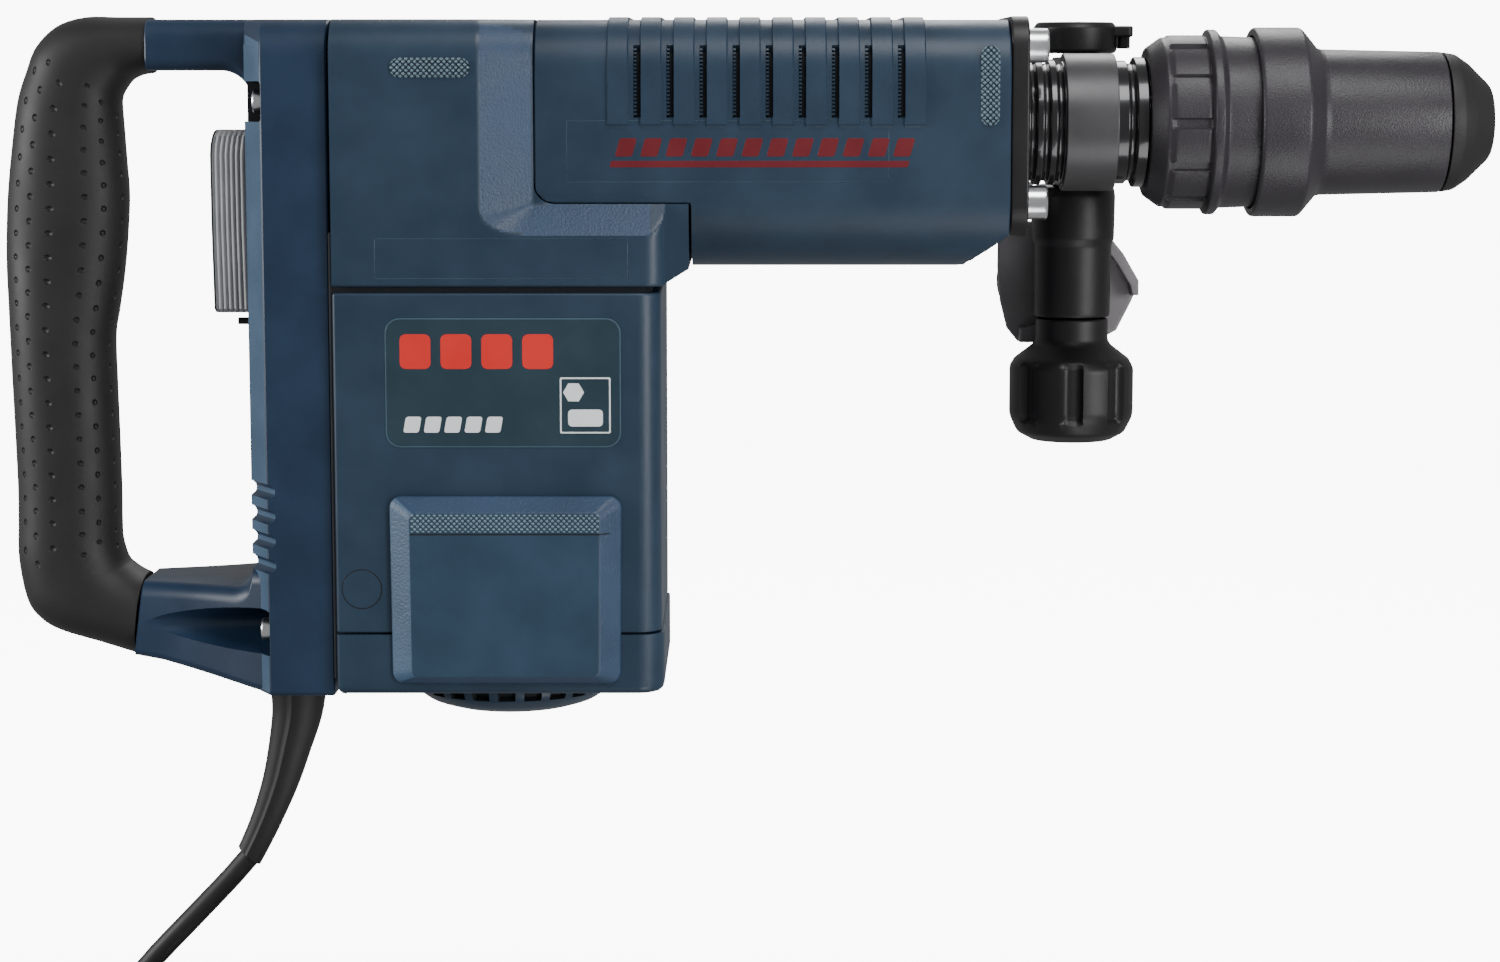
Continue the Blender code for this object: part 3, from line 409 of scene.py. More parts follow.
zinc = surface("zinc", (0.66, 0.67, 0.69), 0.26, metallic=1.0, grain=0.6, height=0.02, vary=0.05)
pins = [round_loops(soften([(plug_low[0] + 46, 0), (plug_low[0] + 46, 2.0), (plug_high[0] - 1, 2.0),
                            (plug_high[0], 0)], 0.8),
                    "X", (plug_y + side * 9.5, plug_z), 24) for side in (-1, 1)]
plug_pins = finish_piece(shells("plug_pins", pins), zinc)
black_plastic = surface("black_plastic", (0.0072, 0.0065, 0.0075), 0.42, grain=0.4, height=0.08)
tie_section = rounded_box((-3.5, -0.55), (3.5, 0.55), (0.5,) * 4, 2)
tie_path = rounded_box((29.0, coil_low[2] + 0.7), (65.2, coil_high[2] + 1.0), (6,) * 4, 6)
tie_out = tie_path - inset(tie_path, 1.0)
tie_out /= np.linalg.norm(tie_out, axis=1, keepdims=True)
tie_points = []
for (r, z), (outr, outz) in zip(tie_path, tie_out):
    tie_points.append([(coil_centre[0] + w, coil_centre[1] + r + h * outr, z + h * outz)
                       for w, h in tie_section])
tie_points = np.array(tie_points)
tie_rows = np.concatenate([tie_points, tie_points[:1]])
cord_tie = finish_piece(mesh_object("cord_tie", tie_rows, quads(len(tie_rows), len(tie_section))),
                        black_plastic)


# ---------------------------------------------------------------- strain relief
# A tapered rubber sleeve, clamped in the handle: round where it leaves the block, slim at the cord, and with
# a flattened front.

BOOT = np.array([(-306.0, -214.5, 270, 10.6), (-306.1, -221, 269, 11.0), (-306.8, -231, 263, 9.9),
                 (-309.6, -243, 256, 8.5), (-313.4, -257, 252, 7.3), (-318.2, -270, 246, 6.3),
                 (-322.6, -280, 238, 5.8), (-326.6, -288.0, 230, 5.6)])
boot_line = smooth_route(BOOT[:, :3], 2.5)
boot_radius = np.interp(boot_line[:, 1][::-1], BOOT[:, 1][::-1], BOOT[:, 3][::-1])[::-1]
boot_rows = []
for (x, z, way), r in zip(boot_line, boot_radius):
    a = np.linspace(0, math.tau, 48, endpoint=False)
    t = math.radians(way)
    flat = np.where(np.cos(a) > 0.2, 0.86, 1.0)
    boot_rows.append(np.stack([x + math.sin(t) * r * np.cos(a), r * 0.92 * np.sin(a) * flat,
                               z - math.cos(t) * r * np.cos(a)], 1))
boot = finish_piece(shells("strain_relief", [np.array(boot_rows)]), rubber, nodes=["cord_boot"])


# ---------------------------------------------------------------- gear housing
# A moulded half-shell casing over the crank drive. Its flank is a plateau that slopes down to the barrel in a
# wide band with a coarse spark texture, round its corner.

body_blue = surface("body_blue", (0.0137, 0.0285, 0.050), 0.40, grain=0.4, height=0.08)
slope_blue = surface("slope_blue", (0.0185, 0.0400, 0.080), 0.46, grain=0.9, height=0.50)
HOUSING_HALF = 54.0
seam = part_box("gear_housing")[0][0] / MM
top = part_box("gear_housing")[1][2] / MM


def section(half, low, high, upper, lower, steps=12, flank=60):
    """A casing section in Y and Z, anticlockwise from the low corner, with flanks in even steps."""
    corner = rounded_box((-half, low), (half, high), (lower, lower, upper, upper), steps)
    parts = np.split(corner, 4)
    left = np.linspace(parts[3][-1], parts[0][0], flank + 2)[1:-1]
    right = np.linspace(parts[1][-1], parts[2][0], flank + 2)[1:-1]
    return np.concatenate([parts[0], parts[1], right, parts[2], parts[3], left])


def plateau_drop(x, z):
    """How far the flank lies inside the plateau: a slope 20 mm wide to the front and 11 mm wide upwards."""
    ahead = 1 - np.clip((x + 229.4) / 19.9, 0, 1)
    above = 1 - np.clip((z + 40.8) / 11.5, 0, 1)
    drop = 1 - np.clip((ahead**2.6 + above**2.6) ** (1 / 2.6), 0, 1)
    nose = 1 - np.sqrt(1 - np.clip((x + 168.0) / 8.0, 0, 1) ** 2)
    return 8.0 * np.maximum(drop, nose)


def gear_rows(stations, low_of, ledge_of):
    """Sections along X, cut off at a lower and an upper line, their flanks moved in by the plateau's drop."""
    rows = []
    for x in stations:
        loop = section(HOUSING_HALF, -60.0, top, 14.0, 1.2)
        loop[:, 1] = np.clip(loop[:, 1], low_of(x), ledge_of(x))
        drop = plateau_drop(x, loop[:, 1])
        y = np.sign(loop[:, 0]) * np.maximum(np.abs(loop[:, 0]) - drop * (np.abs(loop[:, 0]) > 20), 0)
        rows.append(np.stack([np.full(len(y), x), y, loop[:, 1]], 1))
    return np.array(rows)


rear_x = np.r_[seam, seam + 0.6, np.arange(seam + 4, -232, 6), np.arange(-231, -209.4, 0.6), -209.3]
front_x = np.r_[-209.2, np.arange(-208.5, -201, 1.0), np.arange(-200, -172, 5),
                np.arange(-170, -159.4, 0.6), np.arange(-158, -152, 2), -151.6]


def shelf_top(x):
    """A ledge with a hollow 8 mm corner where it meets the body."""
    reach = max(0.0, min(8.0, -201.5 - x))
    return -29.6 + 8 - math.sqrt(64 - reach**2)


def shelf_low(x):
    """The underside, which rises in a straight line to the barrel."""
    return -60.0 + max(0.0, (x + 161.5) * 0.62)


gear_casing = shells("gear_casing", [np.concatenate([gear_rows(rear_x, lambda x: -60.0, lambda x: top),
                                                     gear_rows(front_x, shelf_low, shelf_top)])], 28)
finish_piece(gear_casing, body_blue, nodes=["gear_housing"])
gear_casing.data.materials.append(slope_blue)
centres = np.array([p.center[:] for p in gear_casing.data.polygons]) / MM
normals = np.array([p.normal[:] for p in gear_casing.data.polygons])
depth = plateau_drop(centres[:, 0], centres[:, 2])
on_flank = (np.abs(centres[:, 1]) > 44) & (np.abs(normals[:, 1]) > 0.5)
sloped = on_flank & (depth > 0.3) & (depth < 7.8) & (centres[:, 0] < -166)
gear_casing.data.polygons.foreach_set("material_index", sloped.astype(np.int32))


# ---------------------------------------------------------------- barrel cover
# A long moulded tunnel with round shoulders, slid over the cylinder and held by the front plate. Ten straps
# cross it, and between them are slots for the cooling air.

BARREL_HALF = 46.0
RIB_X = -181.5 + 12.27 * np.arange(10)
SLOT_X = -170.6 + 12.27 * np.arange(9)


def barrel_low(x):
    """The cover's underside: high over the gear housing's ledge, then down, and a chamfer at the front."""
    if x < -150.8:
        reach = max(0.0, -201.0 - x)
        return -29.3 + 8 - math.sqrt(max(64 - min(reach, 8.0) ** 2, 0))
    return -54.0 if x < -48 else -54.0 + (x + 48) * 0.75


def barrel_rows():
    """Sections along X, moved out along their normals at a strap and in at a slot, above the underside."""
    edges = np.concatenate([RIB_X[:, None] + [-0.5, 0, 7.2, 7.7],
                            SLOT_X[:, None][:, [0, 0, 0, 0]] + [-1.4, -1.3, 1.3, 1.4]])
    plain = np.r_[-209.0, -208.4, -207.8, np.arange(-206, -190, 1.0), -151.0, -150.6, -47.5,
                  np.arange(-60, -32.5, 2.5), -32.2, -31.7]
    stations = np.unique(np.r_[edges.ravel(), plain])
    rows = []
    for x in stations:
        loop = section(BARREL_HALF, -54.0, top, 20.0, 30.0, steps=20, flank=56)
        z = loop[:, 1]
        normal = inset(loop, -1.0) - loop
        near_rib = np.clip(1 - np.maximum(RIB_X - x, x - RIB_X - 7.2) / 0.5, 0, 1)
        on_rib = np.max(near_rib * (np.abs(x - RIB_X - 3.6) < 4.2))
        lift = on_rib * 1.0 * np.clip((z + 0.9) / 0.6, 0, 1)
        in_slot = np.max(np.clip((1.4 - np.abs(x - SLOT_X)) / 0.1, 0, 1))
        lift = lift - in_slot * 2.5 * np.clip((z - 2.4) / 0.5, 0, 1) * np.clip((28.5 - z) / 0.5, 0, 1)
        loop = loop + normal * lift[:, None]
        floor_here = barrel_low(x)
        rim = 0.6 * (x <= -209.0) + 0.6 * (x >= -31.8)
        loop = inset(loop, rim) if rim else loop
        rows.append(put("X", x, np.c_[loop[:, 0], np.maximum(loop[:, 1], floor_here)]))
    return np.array(rows)


finish_piece(shells("barrel_shell", [barrel_rows()], 32), body_blue, nodes=["barrel_cover"])

# The slots are lined with plates of painted shade, crossed by a comb of fine bars.
# A near-black: painted shade in slots, gaps, windows and pockets, and the colour of dark joints and lines.
dark_joint_and_painted_shade = surface("dark_joint_and_painted_shade", (0.004, 0.006, 0.009), 0.8)


def barrel_half(z):
    """Half the barrel cover's width at a height above its flank's middle."""
    over = np.clip(np.asarray(z, float) - (top - 20), 0, 20)
    return 26 + np.sqrt(400 - over**2)


def slot_strip(x0, x1, z0, z1, under, thick, side):
    """A strip that follows the flank, its outer face a given distance under the surface."""
    z = np.linspace(z0, z1, max(2, int((z1 - z0) / 2) + 1))
    y = barrel_half(z) - under
    return np.array([[(x0, side * (b - thick), a), (x1, side * (b - thick), a),
                      (x1, side * b, a), (x0, side * b, a)] for a, b in zip(z, y)])


slot_painted_shade = shells("slot_painted_shade", [slot_strip(x - 1.25, x + 1.25, 3.0, 28.0, 2.3, 0.5, side)
                                   for x in SLOT_X for side in (-1, 1)], weighted=False)
finish_piece(slot_painted_shade, dark_joint_and_painted_shade)
slot_comb = shells("slot_comb", [slot_strip(x - 1.28, x - 0.2, z, z + 0.7, 0.15, 2.0, side)
                                 for x in SLOT_X for side in (-1, 1) for z in np.arange(3.4, 27.4, 1.4)],
                   weighted=False)
finish_piece(slot_comb, body_blue)


# ---------------------------------------------------------------- motor housing
# An upright moulded box round the motor, with a foot screwed under it. A dark joint runs between the casings,
# where their spigots enter each other.

motor_outline = rounded_box((seam, -HOUSING_HALF), (-161.9, HOUSING_HALF), (1.5, 9, 9, 1.5), 8)
finish_piece(shells("motor_casing", [slab(motor_outline, "Z", -190.2, -62.3, 1.0)]), body_blue,
             nodes=["motor_housing"])
foot_outline = rounded_box((seam, -54.6), (-161.0, 54.6), (1.5, 10, 10, 1.5), 8)
finish_piece(shells("foot_casing", [slab(foot_outline, "Z", -213.5, -190.7, 3.2, (True, False))]),
             body_blue, nodes=["motor_end_cap"])
# The spigots are near-black plates of painted shade, so that the gap between the casings reads dark.
spigots = [slab(rounded_box((seam - 1.5, -51.5), (-165.5, 51.5), (1, 6, 6, 1), 4), "Z", -208, -40, 0.5),
           slab(rounded_box((-44.5, -40), (44.5, 36), (25, 25, 18, 18), 4), "X", -205, -33, 0.5),
           slab(rounded_box((-48, -205), (48, 33), (2, 2, 12, 12), 4), "X", seam - 1.9, seam + 3, 0.3)]
finish_piece(shells("spigot_painted_shade", spigots), dark_joint_and_painted_shade)


# ---------------------------------------------------------------- brush covers
# A raised moulded cover over each carbon brush, slid off downwards. It has textured bevels and a knurled
# strip for the thumb.

door_blue = surface("door_blue", (0.0168, 0.037, 0.064), 0.42, grain=0.5, height=0.10)
# A lighter copy of the textured blue, as painted light on bevels and chamfers that face the left lamp.
bevel_painted_light = surface("bevel_painted_light", (0.040, 0.075, 0.125), 0.46, grain=0.9, height=0.50)
# The knurls' points are painted lighter as highlight, and the faces between them darker as shade.
knurl_painted_highlight = surface("knurl_painted_highlight", (0.095, 0.145, 0.180), 0.4, grain=0.3, height=0.02)
knurl_painted_shade = surface("knurl_painted_shade", (0.006, 0.016, 0.026), 0.6, grain=0.3, height=0.02)


def shade_knurl_valleys(obj, rise, dark):
    """Faces between the points of a knurl take the dark material, as painted shade in the valleys."""
    corners = np.empty(len(obj.data.polygons) * 4, np.int32)
    obj.data.polygons.foreach_get("vertices", corners)
    low = np.asarray(rise).ravel()[corners].reshape(-1, 4).mean(1) < 0.34
    obj.data.materials.append(dark)
    obj.data.polygons.foreach_set("material_index", low.astype(np.int32))


for side, name, node in ((-1, "brush_door_right", "brush_cover_right"),
                         (1, "brush_door_left", "brush_cover_left")):
    rows = []
    for y, into, radius in [(54.8, 0.0, 4.5), (55.8, 0.1, 4.5), (56.3, 0.6, 4.3), (61.2, 7.3, 3.0),
                            (61.7, 7.9, 2.6), (61.8, 8.6, 2.2)]:
        outline = rounded_box((-263.5 + into, -209.0 + into * 0.42), (-176.6 - into, -138.0 - into * 0.72),
                              (radius,) * 4, 6)
        outline[:, 0] += (outline[:, 0] + 220) * -0.0002 * (-138 - outline[:, 1])
        rows.append(put("Y", side * y, outline))
    door = shells(name, [np.array(rows)], 50)
    body = "brush_cover_l" if side > 0 else "brush_cover_r"
    finish_piece(door, door_blue, body, [node])
    door.data.materials.append(slope_blue)
    door.data.materials.append(bevel_painted_light)
    facing = np.array([p.normal[:] for p in door.data.polygons])
    bevel = (np.abs(facing[:, 1]) > 0.4) & (np.abs(facing[:, 1]) < 0.9)
    # Bevels facing the rear take the lighter copy as painted light; the others take the textured slope blue.
    door.data.polygons.foreach_set("material_index",
                                   (bevel * np.where(facing[:, 0] < -0.3, 2, 1)).astype(np.int32))
    x, z = np.meshgrid(np.linspace(-255.3, -184.7, 420), np.linspace(-151.1, -143.9, 46), indexing="ij")
    rise = np.abs(np.sin((x + z) * 1.5)) * np.abs(np.sin((x - z) * 1.5))
    edge = np.clip(np.minimum.reduce([x + 255.3, -184.7 - x, z + 151.1, -143.9 - z]) / 0.4, 0, 1)
    faces = quads(420, 46, closed=False)
    strip = mesh_object(name + "_strip", np.stack([x, side * (61.5 + edge * (0.05 + 0.75 * rise)), z], -1),
                        faces if side < 0 else [f[::-1] for f in faces], 60)
    finish_piece(strip, knurl_painted_highlight, body)
    shade_knurl_valleys(strip, rise, knurl_painted_shade)
    line_x = np.array([-263.3, -262.5, -255.9, -255.2, -184.8, -184.1, -177.5, -176.8])
    line_y = np.array([55.4, 56.4, 61.3, 61.87, 61.87, 61.3, 56.4, 55.4])
    groove = np.array([[(x, side * (y - 0.9), -151.9), (x, side * y, -151.9),
                        (x, side * y, -151.35), (x, side * (y - 0.9), -151.35)]
                       for x, y in zip(line_x, line_y)])
    finish_piece(shells(name + "_split", [groove], weighted=False), dark_joint_and_painted_shade, body)


# ---------------------------------------------------------------- rear handle
# Two moulded shells meet on the middle plane, held by four cap screws: a broad block with two arms that carry
# the rubber grip.

handle_blue = surface("handle_blue", (0.0080, 0.0205, 0.045), 0.42, grain=0.5, height=0.10)


def block_rows():
    """Sections across X: full width to the chamfer, which narrows the rear face."""
    rows = []
    for x, half, shrink in [(-285.4, 49.4, 0.6), (-286, 50, 0), (-309.6, 50, 0), (-310.2, 49.6, 0),
                            (-317.2, 36.5, 0.1), (-317.8, 35.6, 0.4), (-318, 34.8, 0.9)]:
        upper = 14 if half > 40 else 9
        rows.append(put("X", x, section(half, -215 + shrink, top - shrink, upper, 2.0, 8, 4)))
    return np.array(rows)


def arm_rows(stations, half_of, low_of, high_of, upper, lower):
    """Sections along X whose half width, underside and top are functions of X."""
    return np.array([put("X", x, section(half_of(x), low_of(x), high_of(x), upper, lower, 8, 3))
                     for x in stations])


def hollow(distance, radius):
    """Height of a quarter-round fillet at a distance from the wall that it runs into."""
    d = np.clip(radius - distance, 0, radius)
    return radius - math.sqrt(radius**2 - d**2)


upper_x = np.r_[-313.0, np.linspace(-317.5, -330, 10), -340, -350, -357.0, -357.6]
lower_x = np.r_[-313.0, np.linspace(-317.5, -327, 8), -335, -345, -355, -362.0, -362.6]
frame_shells = [
    block_rows(),
    arm_rows(upper_x, lambda x: 21.0 - 0.5 * (x < -357.3),
             lambda x: 19.7 - hollow(-317.5 - x, 12) + 0.5 * (x < -357.3),
             lambda x: top + 0.3 - 0.5 * (x < -357.3), 7.5, 4.5),
    arm_rows(lower_x, lambda x: float(np.interp(x, [-362, -340, -313], [21.5, 29, 43])),
             lambda x: float(np.interp(x, [-362, -314.6], [-204.5, -214.9])),
             lambda x: -175.8 + hollow(-317.5 - x, 8), 6.0, 3.0),
]
frame_shells[2][-2:, :, 0] -= (-176 - frame_shells[2][-2:, :, 2]) * 0.13
handle_frame = shells("handle_frame", frame_shells, 30, weighted=False)


def carve(obj, cuts):
    """Booleans, applied at once so that the piece is plain mesh; a cut is its loops and its material."""
    for loops, place in cuts:
        tool = shells("cutter", [loops], weighted=False)
        for material in obj.data.materials:
            tool.data.materials.append(material)
        tool.data.polygons.foreach_set("material_index", np.full(len(tool.data.polygons), place, np.int32))
        step = obj.modifiers.new("cut", "BOOLEAN")
        step.operation = "DIFFERENCE"
        step.solver = "EXACT"
        step.use_self = True
        step.object = tool
        carved = bpy.data.meshes.new_from_object(obj.evaluated_get(bpy.context.evaluated_depsgraph_get()))
        obj.modifiers.clear()
        obj.data = carved
        bpy.data.objects.remove(tool, do_unlink=True)


def notch(z, radius):
    """A groove round the block's rear face and both of its chamfers at a height."""
    t = np.linspace(0, math.tau, 20, endpoint=False)
    rows = []
    for x, y, nx, ny in [(-307, -55.5, -0.88, -0.47), (-318.9, -34.5, -0.96, -0.28),
                         (-318.9, 34.5, -0.96, 0.28), (-307, 55.5, -0.88, 0.47)]:
        rows.append(np.stack([x + radius * np.cos(t) * nx, y + radius * np.cos(t) * ny,
                              z + radius * np.sin(t)], 1))
    return np.array(rows)


def scoop_rows(side):
    """A hollow along the lower arm with an elliptical section, blunt where it meets the screw."""
    t = np.linspace(0, math.tau, 40, endpoint=False)
    return np.array([np.stack([np.full(40, x), side * (44 + 21.5 * grow * np.cos(t)),
                               -191.2 + 8.4 * grow * np.sin(t)], 1)
                     for x, grow in [(-366, 1.0), (-350, 1.0), (-309.8, 1.04)]])


# The upper window and the side windows take the near-black as painted shade in their deep pockets; the scoops
# and notches keep the handle's blue.
windows = [(slab(rounded_box((-13.4, -78.4), (13.4, -1.2), (1,) * 4, 2), "X", -325, -307.5, 0.3), 1)]
for side in (-1, 1):
    windows.append((slab(rounded_box((-326, 0.8), (-309.8, 15.8), (1.2,) * 4, 3), "Y",
                         *sorted((side * 27, side * 60)), 0.3), 1))
    windows.append((scoop_rows(side), 0))
windows += [(notch(-137.2 - 9.4 * k, 2.9), 0) for k in range(4)]
finish_piece(handle_frame, handle_blue, nodes=["handle_shell_left", "handle_shell_right"])
handle_frame.data.materials.append(dark_joint_and_painted_shade)
carve(handle_frame, windows)
handle_frame.data.shade_smooth()
handle_frame.data.set_sharp_from_angle(angle=math.radians(28))
handle_frame.data.materials.append(bevel_painted_light)
slots_now = np.empty(len(handle_frame.data.polygons), np.int32)
handle_frame.data.polygons.foreach_get("material_index", slots_now)
centres = np.array([p.center[:] for p in handle_frame.data.polygons]) / MM
normals = np.array([p.normal[:] for p in handle_frame.data.polygons])
band = (centres[:, 0] < -310) & (centres[:, 0] > -317.6) & (np.abs(centres[:, 1]) > 36)
chamfer = band & (np.abs(normals[:, 2]) < 0.2)
# Chamfer faces turned to the rear take the lighter copy as painted light.
slots_now[(slots_now == 0) & chamfer & (normals[:, 0] < -0.5) & (np.abs(normals[:, 1]) > 0.25)] = 2
handle_frame.data.polygons.foreach_set("material_index", slots_now)
handle_frame.modifiers.new("even_normals", "WEIGHTED_NORMAL").keep_sharp = True


# ---------------------------------------------------------------- rear grip
# A thick rubber sleeve moulded round the handle's core. It lies between an outer and an inner line, and is
# dimpled in staggered rows.


def give_run(obj, along, over):
    """A UV map in millimetres: the way along the loops of the first shell, and the place across each loop."""
    corners = np.empty(len(obj.data.loops), np.int32)
    obj.data.loops.foreach_get("vertex_index", corners)
    row, column = corners // len(over), corners % len(over)
    uv = np.stack([np.asarray(along)[np.minimum(row, len(along) - 1)], np.asarray(over)[column]], 1)
    obj.data.uv_layers.new(name="run").data.foreach_set("uv", uv.ravel().astype(np.float32))


GRIP = np.array([
    (-358.0, 40.1, -358.1, 18.7), (-370.0, 40.1, -362.0, 18.0), (-382.9, 40.1, -366.0, 16.0),
    (-393.8, 36.8, -369.0, 12.0), (-402.0, 29.0, -370.3, 8.6), (-406.1, 19.5, -370.2, 4.0),
    (-409.9, 7.7, -369.8, -2.1), (-412.8, -11.8, -369.0, -15.0), (-414.5, -27.0, -368.3, -27.6),
    (-415.4, -41.5, -369.1, -41.5), (-415.7, -55.0, -370.6, -56.1), (-415.4, -68.0, -372.9, -70.9),
    (-415.1, -79.8, -374.8, -82.1), (-414.6, -99.6, -374.7, -99.6), (-414.0, -120.0, -374.3, -120.0),
    (-413.5, -141.6, -374.0, -141.6), (-413.7, -155.0, -374.1, -155.0), (-413.8, -169.1, -373.8, -162.0),
    (-410.9, -185.0, -371.7, -169.1), (-405.8, -192.5, -369.0, -171.8), (-397.7, -197.3, -366.6, -173.5),
    (-382.0, -202.0, -365.0, -174.5), (-367.4, -206.5, -364.0, -175.0),
])
grip_curve = smooth_route(GRIP, 2.3)
middle_line = (grip_curve[:, :2] + grip_curve[:, 2:]) / 2
run_length = np.r_[0, np.cumsum(np.hypot(*np.diff(middle_line, axis=0).T))]
a = np.linspace(0, math.tau, 120, endpoint=False)
across = np.sign(np.cos(a)) * np.abs(np.cos(a)) ** 0.86
wide = np.sign(np.sin(a)) * np.abs(np.sin(a)) ** 0.86
reach = (grip_curve[:, :2] - grip_curve[:, 2:]) / 2
half_wide = np.interp(run_length, [0, 8, 60, run_length[-1] - 30, run_length[-1]],
                      [19.6, 19.2, 18.4, 19.5, 21.0])[:, None]
grip_points = np.stack([middle_line[:, :1] + reach[:, :1] * across, half_wide * wide,
                        middle_line[:, 1:] + reach[:, 1:] * across], -1)
rear_rubber = shells("rear_rubber", [grip_points], 60)
columns = np.array([45.5, 63.5, 82.7, 110.3, 131.5, 161.0]) * math.tau / 360 * 20
places = 6.0 * np.arange(6)
knots = np.r_[0, (columns[:, None] + [-2.2, 2.2]).ravel(), 63]
values = np.r_[-4.4, (places[:, None] + [-2.2, 2.2]).ravel(), 33.4]
give_run(rear_rubber, run_length, np.interp(np.minimum(a, math.tau - a) * 20, knots, values))


def dimpled(base, pitch, spacing, radius, height, first, last):
    """Rubber with round dimples, pitch apart along the run and spacing across it, from first to last."""
    made = base.copy()
    made.name = base.name + "_dimpled"
    tree = made.node_tree
    place = tree.nodes.new("ShaderNodeUVMap")
    place.uv_map = "run"
    split = tree.nodes.new("ShaderNodeSeparateXYZ")
    tree.links.new(place.outputs["UV"], split.inputs["Vector"])

    def math_node(kind, first, second=None, third=None):
        node = tree.nodes.new("ShaderNodeMath")
        node.operation = kind
        for socket, value in zip(node.inputs, (first, second, third)):
            if value is None:
                continue
            if isinstance(value, (int, float)):
                socket.default_value = value
            else:
                tree.links.new(value, socket)
        return node.outputs[0]

    def cell(x_shift, z_shift):
        """Distance from the nearest centre of a grid of dots, pitch apart in both ways."""
        parts = []
        for source, size, shift in ((split.outputs["X"], pitch, x_shift),
                                    (split.outputs["Y"], spacing, z_shift)):
            scaled = math_node("MULTIPLY_ADD", source, 1 / size, 100 + shift)
            parts.append(math_node("MULTIPLY", math_node("SUBTRACT", math_node("FRACT", scaled), 0.5), size))
        squares = [math_node("MULTIPLY", part, part) for part in parts]
        return math_node("SQRT", math_node("ADD", *squares))

    near = math_node("MINIMUM", cell(0.5, 0.5), cell(0.0, 0.0))
    before = math_node("SUBTRACT", first, split.outputs["X"])
    beyond = math_node("SUBTRACT", split.outputs["X"], last)
    near = math_node("MAXIMUM", near, math_node("MAXIMUM", before, beyond))
    pit = tree.nodes.new("ShaderNodeMapRange")
    pit.interpolation_type = "SMOOTHSTEP"
    pit.inputs["From Min"].default_value = radius * 0.35
    pit.inputs["From Max"].default_value = radius
    tree.links.new(near, pit.inputs["Value"])
    shader = tree.nodes["Principled BSDF"]
    # The pits are darkened towards near-black as painted shade.
    pit_painted_shade = tree.nodes.new("ShaderNodeMix")
    pit_painted_shade.data_type = "RGBA"
    pit_painted_shade.inputs["A"].default_value = (0.002, 0.002, 0.002, 1)
    tree.links.new(shader.inputs["Base Color"].links[0].from_socket, pit_painted_shade.inputs["B"])
    tree.links.new(pit.outputs["Result"], pit_painted_shade.inputs["Factor"])
    tree.links.new(pit_painted_shade.outputs["Result"], shader.inputs["Base Color"])
    bump = tree.nodes.new("ShaderNodeBump")
    bump.inputs["Strength"].default_value = 1.0
    bump.inputs["Distance"].default_value = height * MM
    tree.links.new(pit.outputs["Result"], bump.inputs["Height"])
    old = shader.inputs["Normal"].links[0].from_socket
    tree.links.new(old, bump.inputs["Normal"])
    tree.links.new(bump.outputs["Normal"], shader.inputs["Normal"])
    return made


finish_piece(rear_rubber, dimpled(rubber, 9.3, 12.0, 1.35, 1.2, 33, run_length[-1] - 40),
             nodes=["rear_grip"])


# ---------------------------------------------------------------- switch paddle
# The on switch is a long moulded grey bar, hinged at its top, with fine upright ribs on its flanks.

paddle_grey = surface("paddle_grey", (0.38, 0.39, 0.40), 0.55)
x = np.linspace(0, 1, 128)
paddle_rows = []
for z in np.r_[-73, -72.4, np.linspace(-71, -5, 20), -3.4, -2.8]:
    inside = min(z + 73.2, -2.6 - z)
    end = min(1.0, math.sqrt(max(0.02, inside / 1.5))) if inside < 1.5 else 1.0
    rear = np.interp(z, [-73, -40, -10, -2.6], [-334.6, -335.2, -335.3, -333.8])
    along = rear + 1.2 + x * (-316.5 - rear - 1.2)
    rib = 11.7 + 1.0 * np.sqrt(np.abs(np.sin((along - rear) * math.pi / 1.95)))
    left = np.stack([along, -rib * end, np.full(128, z)], 1)
    right = left[::-1] * [1, -1, 1]
    nose = [(rear + 0.2, -11.2 * end, z), (rear, -9.5 * end, z), (rear, 9.5 * end, z),
            (rear + 0.2, 11.2 * end, z)]
    paddle_rows.append(np.concatenate([left, right, nose]))
finish_piece(shells("trigger_paddle", [np.array(paddle_rows)], 40), paddle_grey, "switch",
             ["switch_paddle"])


# ---------------------------------------------------------------- front plate and screws
# A black plate closes the barrel, held by four zinc-plated cap screws with knurled rims. Four smaller
# ones hold the rear handle.

plate = slab(rounded_box((-42.5, -42.5), (42.5, 40.0), (14, 14, 12, 12), 10), "X", -31.4, -24.5, 0.9)
finish_piece(shells("front_plate", [plate]), black_plastic, nodes=["front_flange"])


def cap_screw(node, name, seat, outer, radius, socket):
    """A cap screw with a knurled rim and a hexagon socket, its head between seat and outer along X."""
    low, high = (np.array(corner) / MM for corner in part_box(node))
    centre = ((low[1] + high[1]) / 2, (low[2] + high[2]) / 2)
    way = 1 if outer > seat else -1
    count = 96
    t = np.linspace(0, math.tau, count, endpoint=False)
    knurl = 0.16 * np.abs(np.sin(t * 24))
    rows = []
    for along, r, rough in [(seat, radius, 0), (seat + way * 0.8, radius, 1), (outer - way * 1.5, radius, 1),
                            (outer - way * 0.7, radius, 0), (outer - way * 0.1, radius - 0.5, 0),
                            (outer, radius - 0.9, 0), (outer, socket * 1.12, 0),
                            (outer - way * 0.3, socket, 0), (outer - way * 3.2, socket * 0.98, 0)]:
        spread = r - knurl * rough
        if r <= socket * 1.01:
            spread = r * math.cos(math.pi / 6) / np.cos((t % (math.pi / 3)) - math.pi / 6)
        rows.append(np.stack([np.full(count, along), centre[0] + spread * np.cos(t),
                              centre[1] + spread * np.sin(t)], 1))
    screw = shells(name, [np.array(rows)], 35)
    return finish_piece(screw, zinc, nodes=[node])


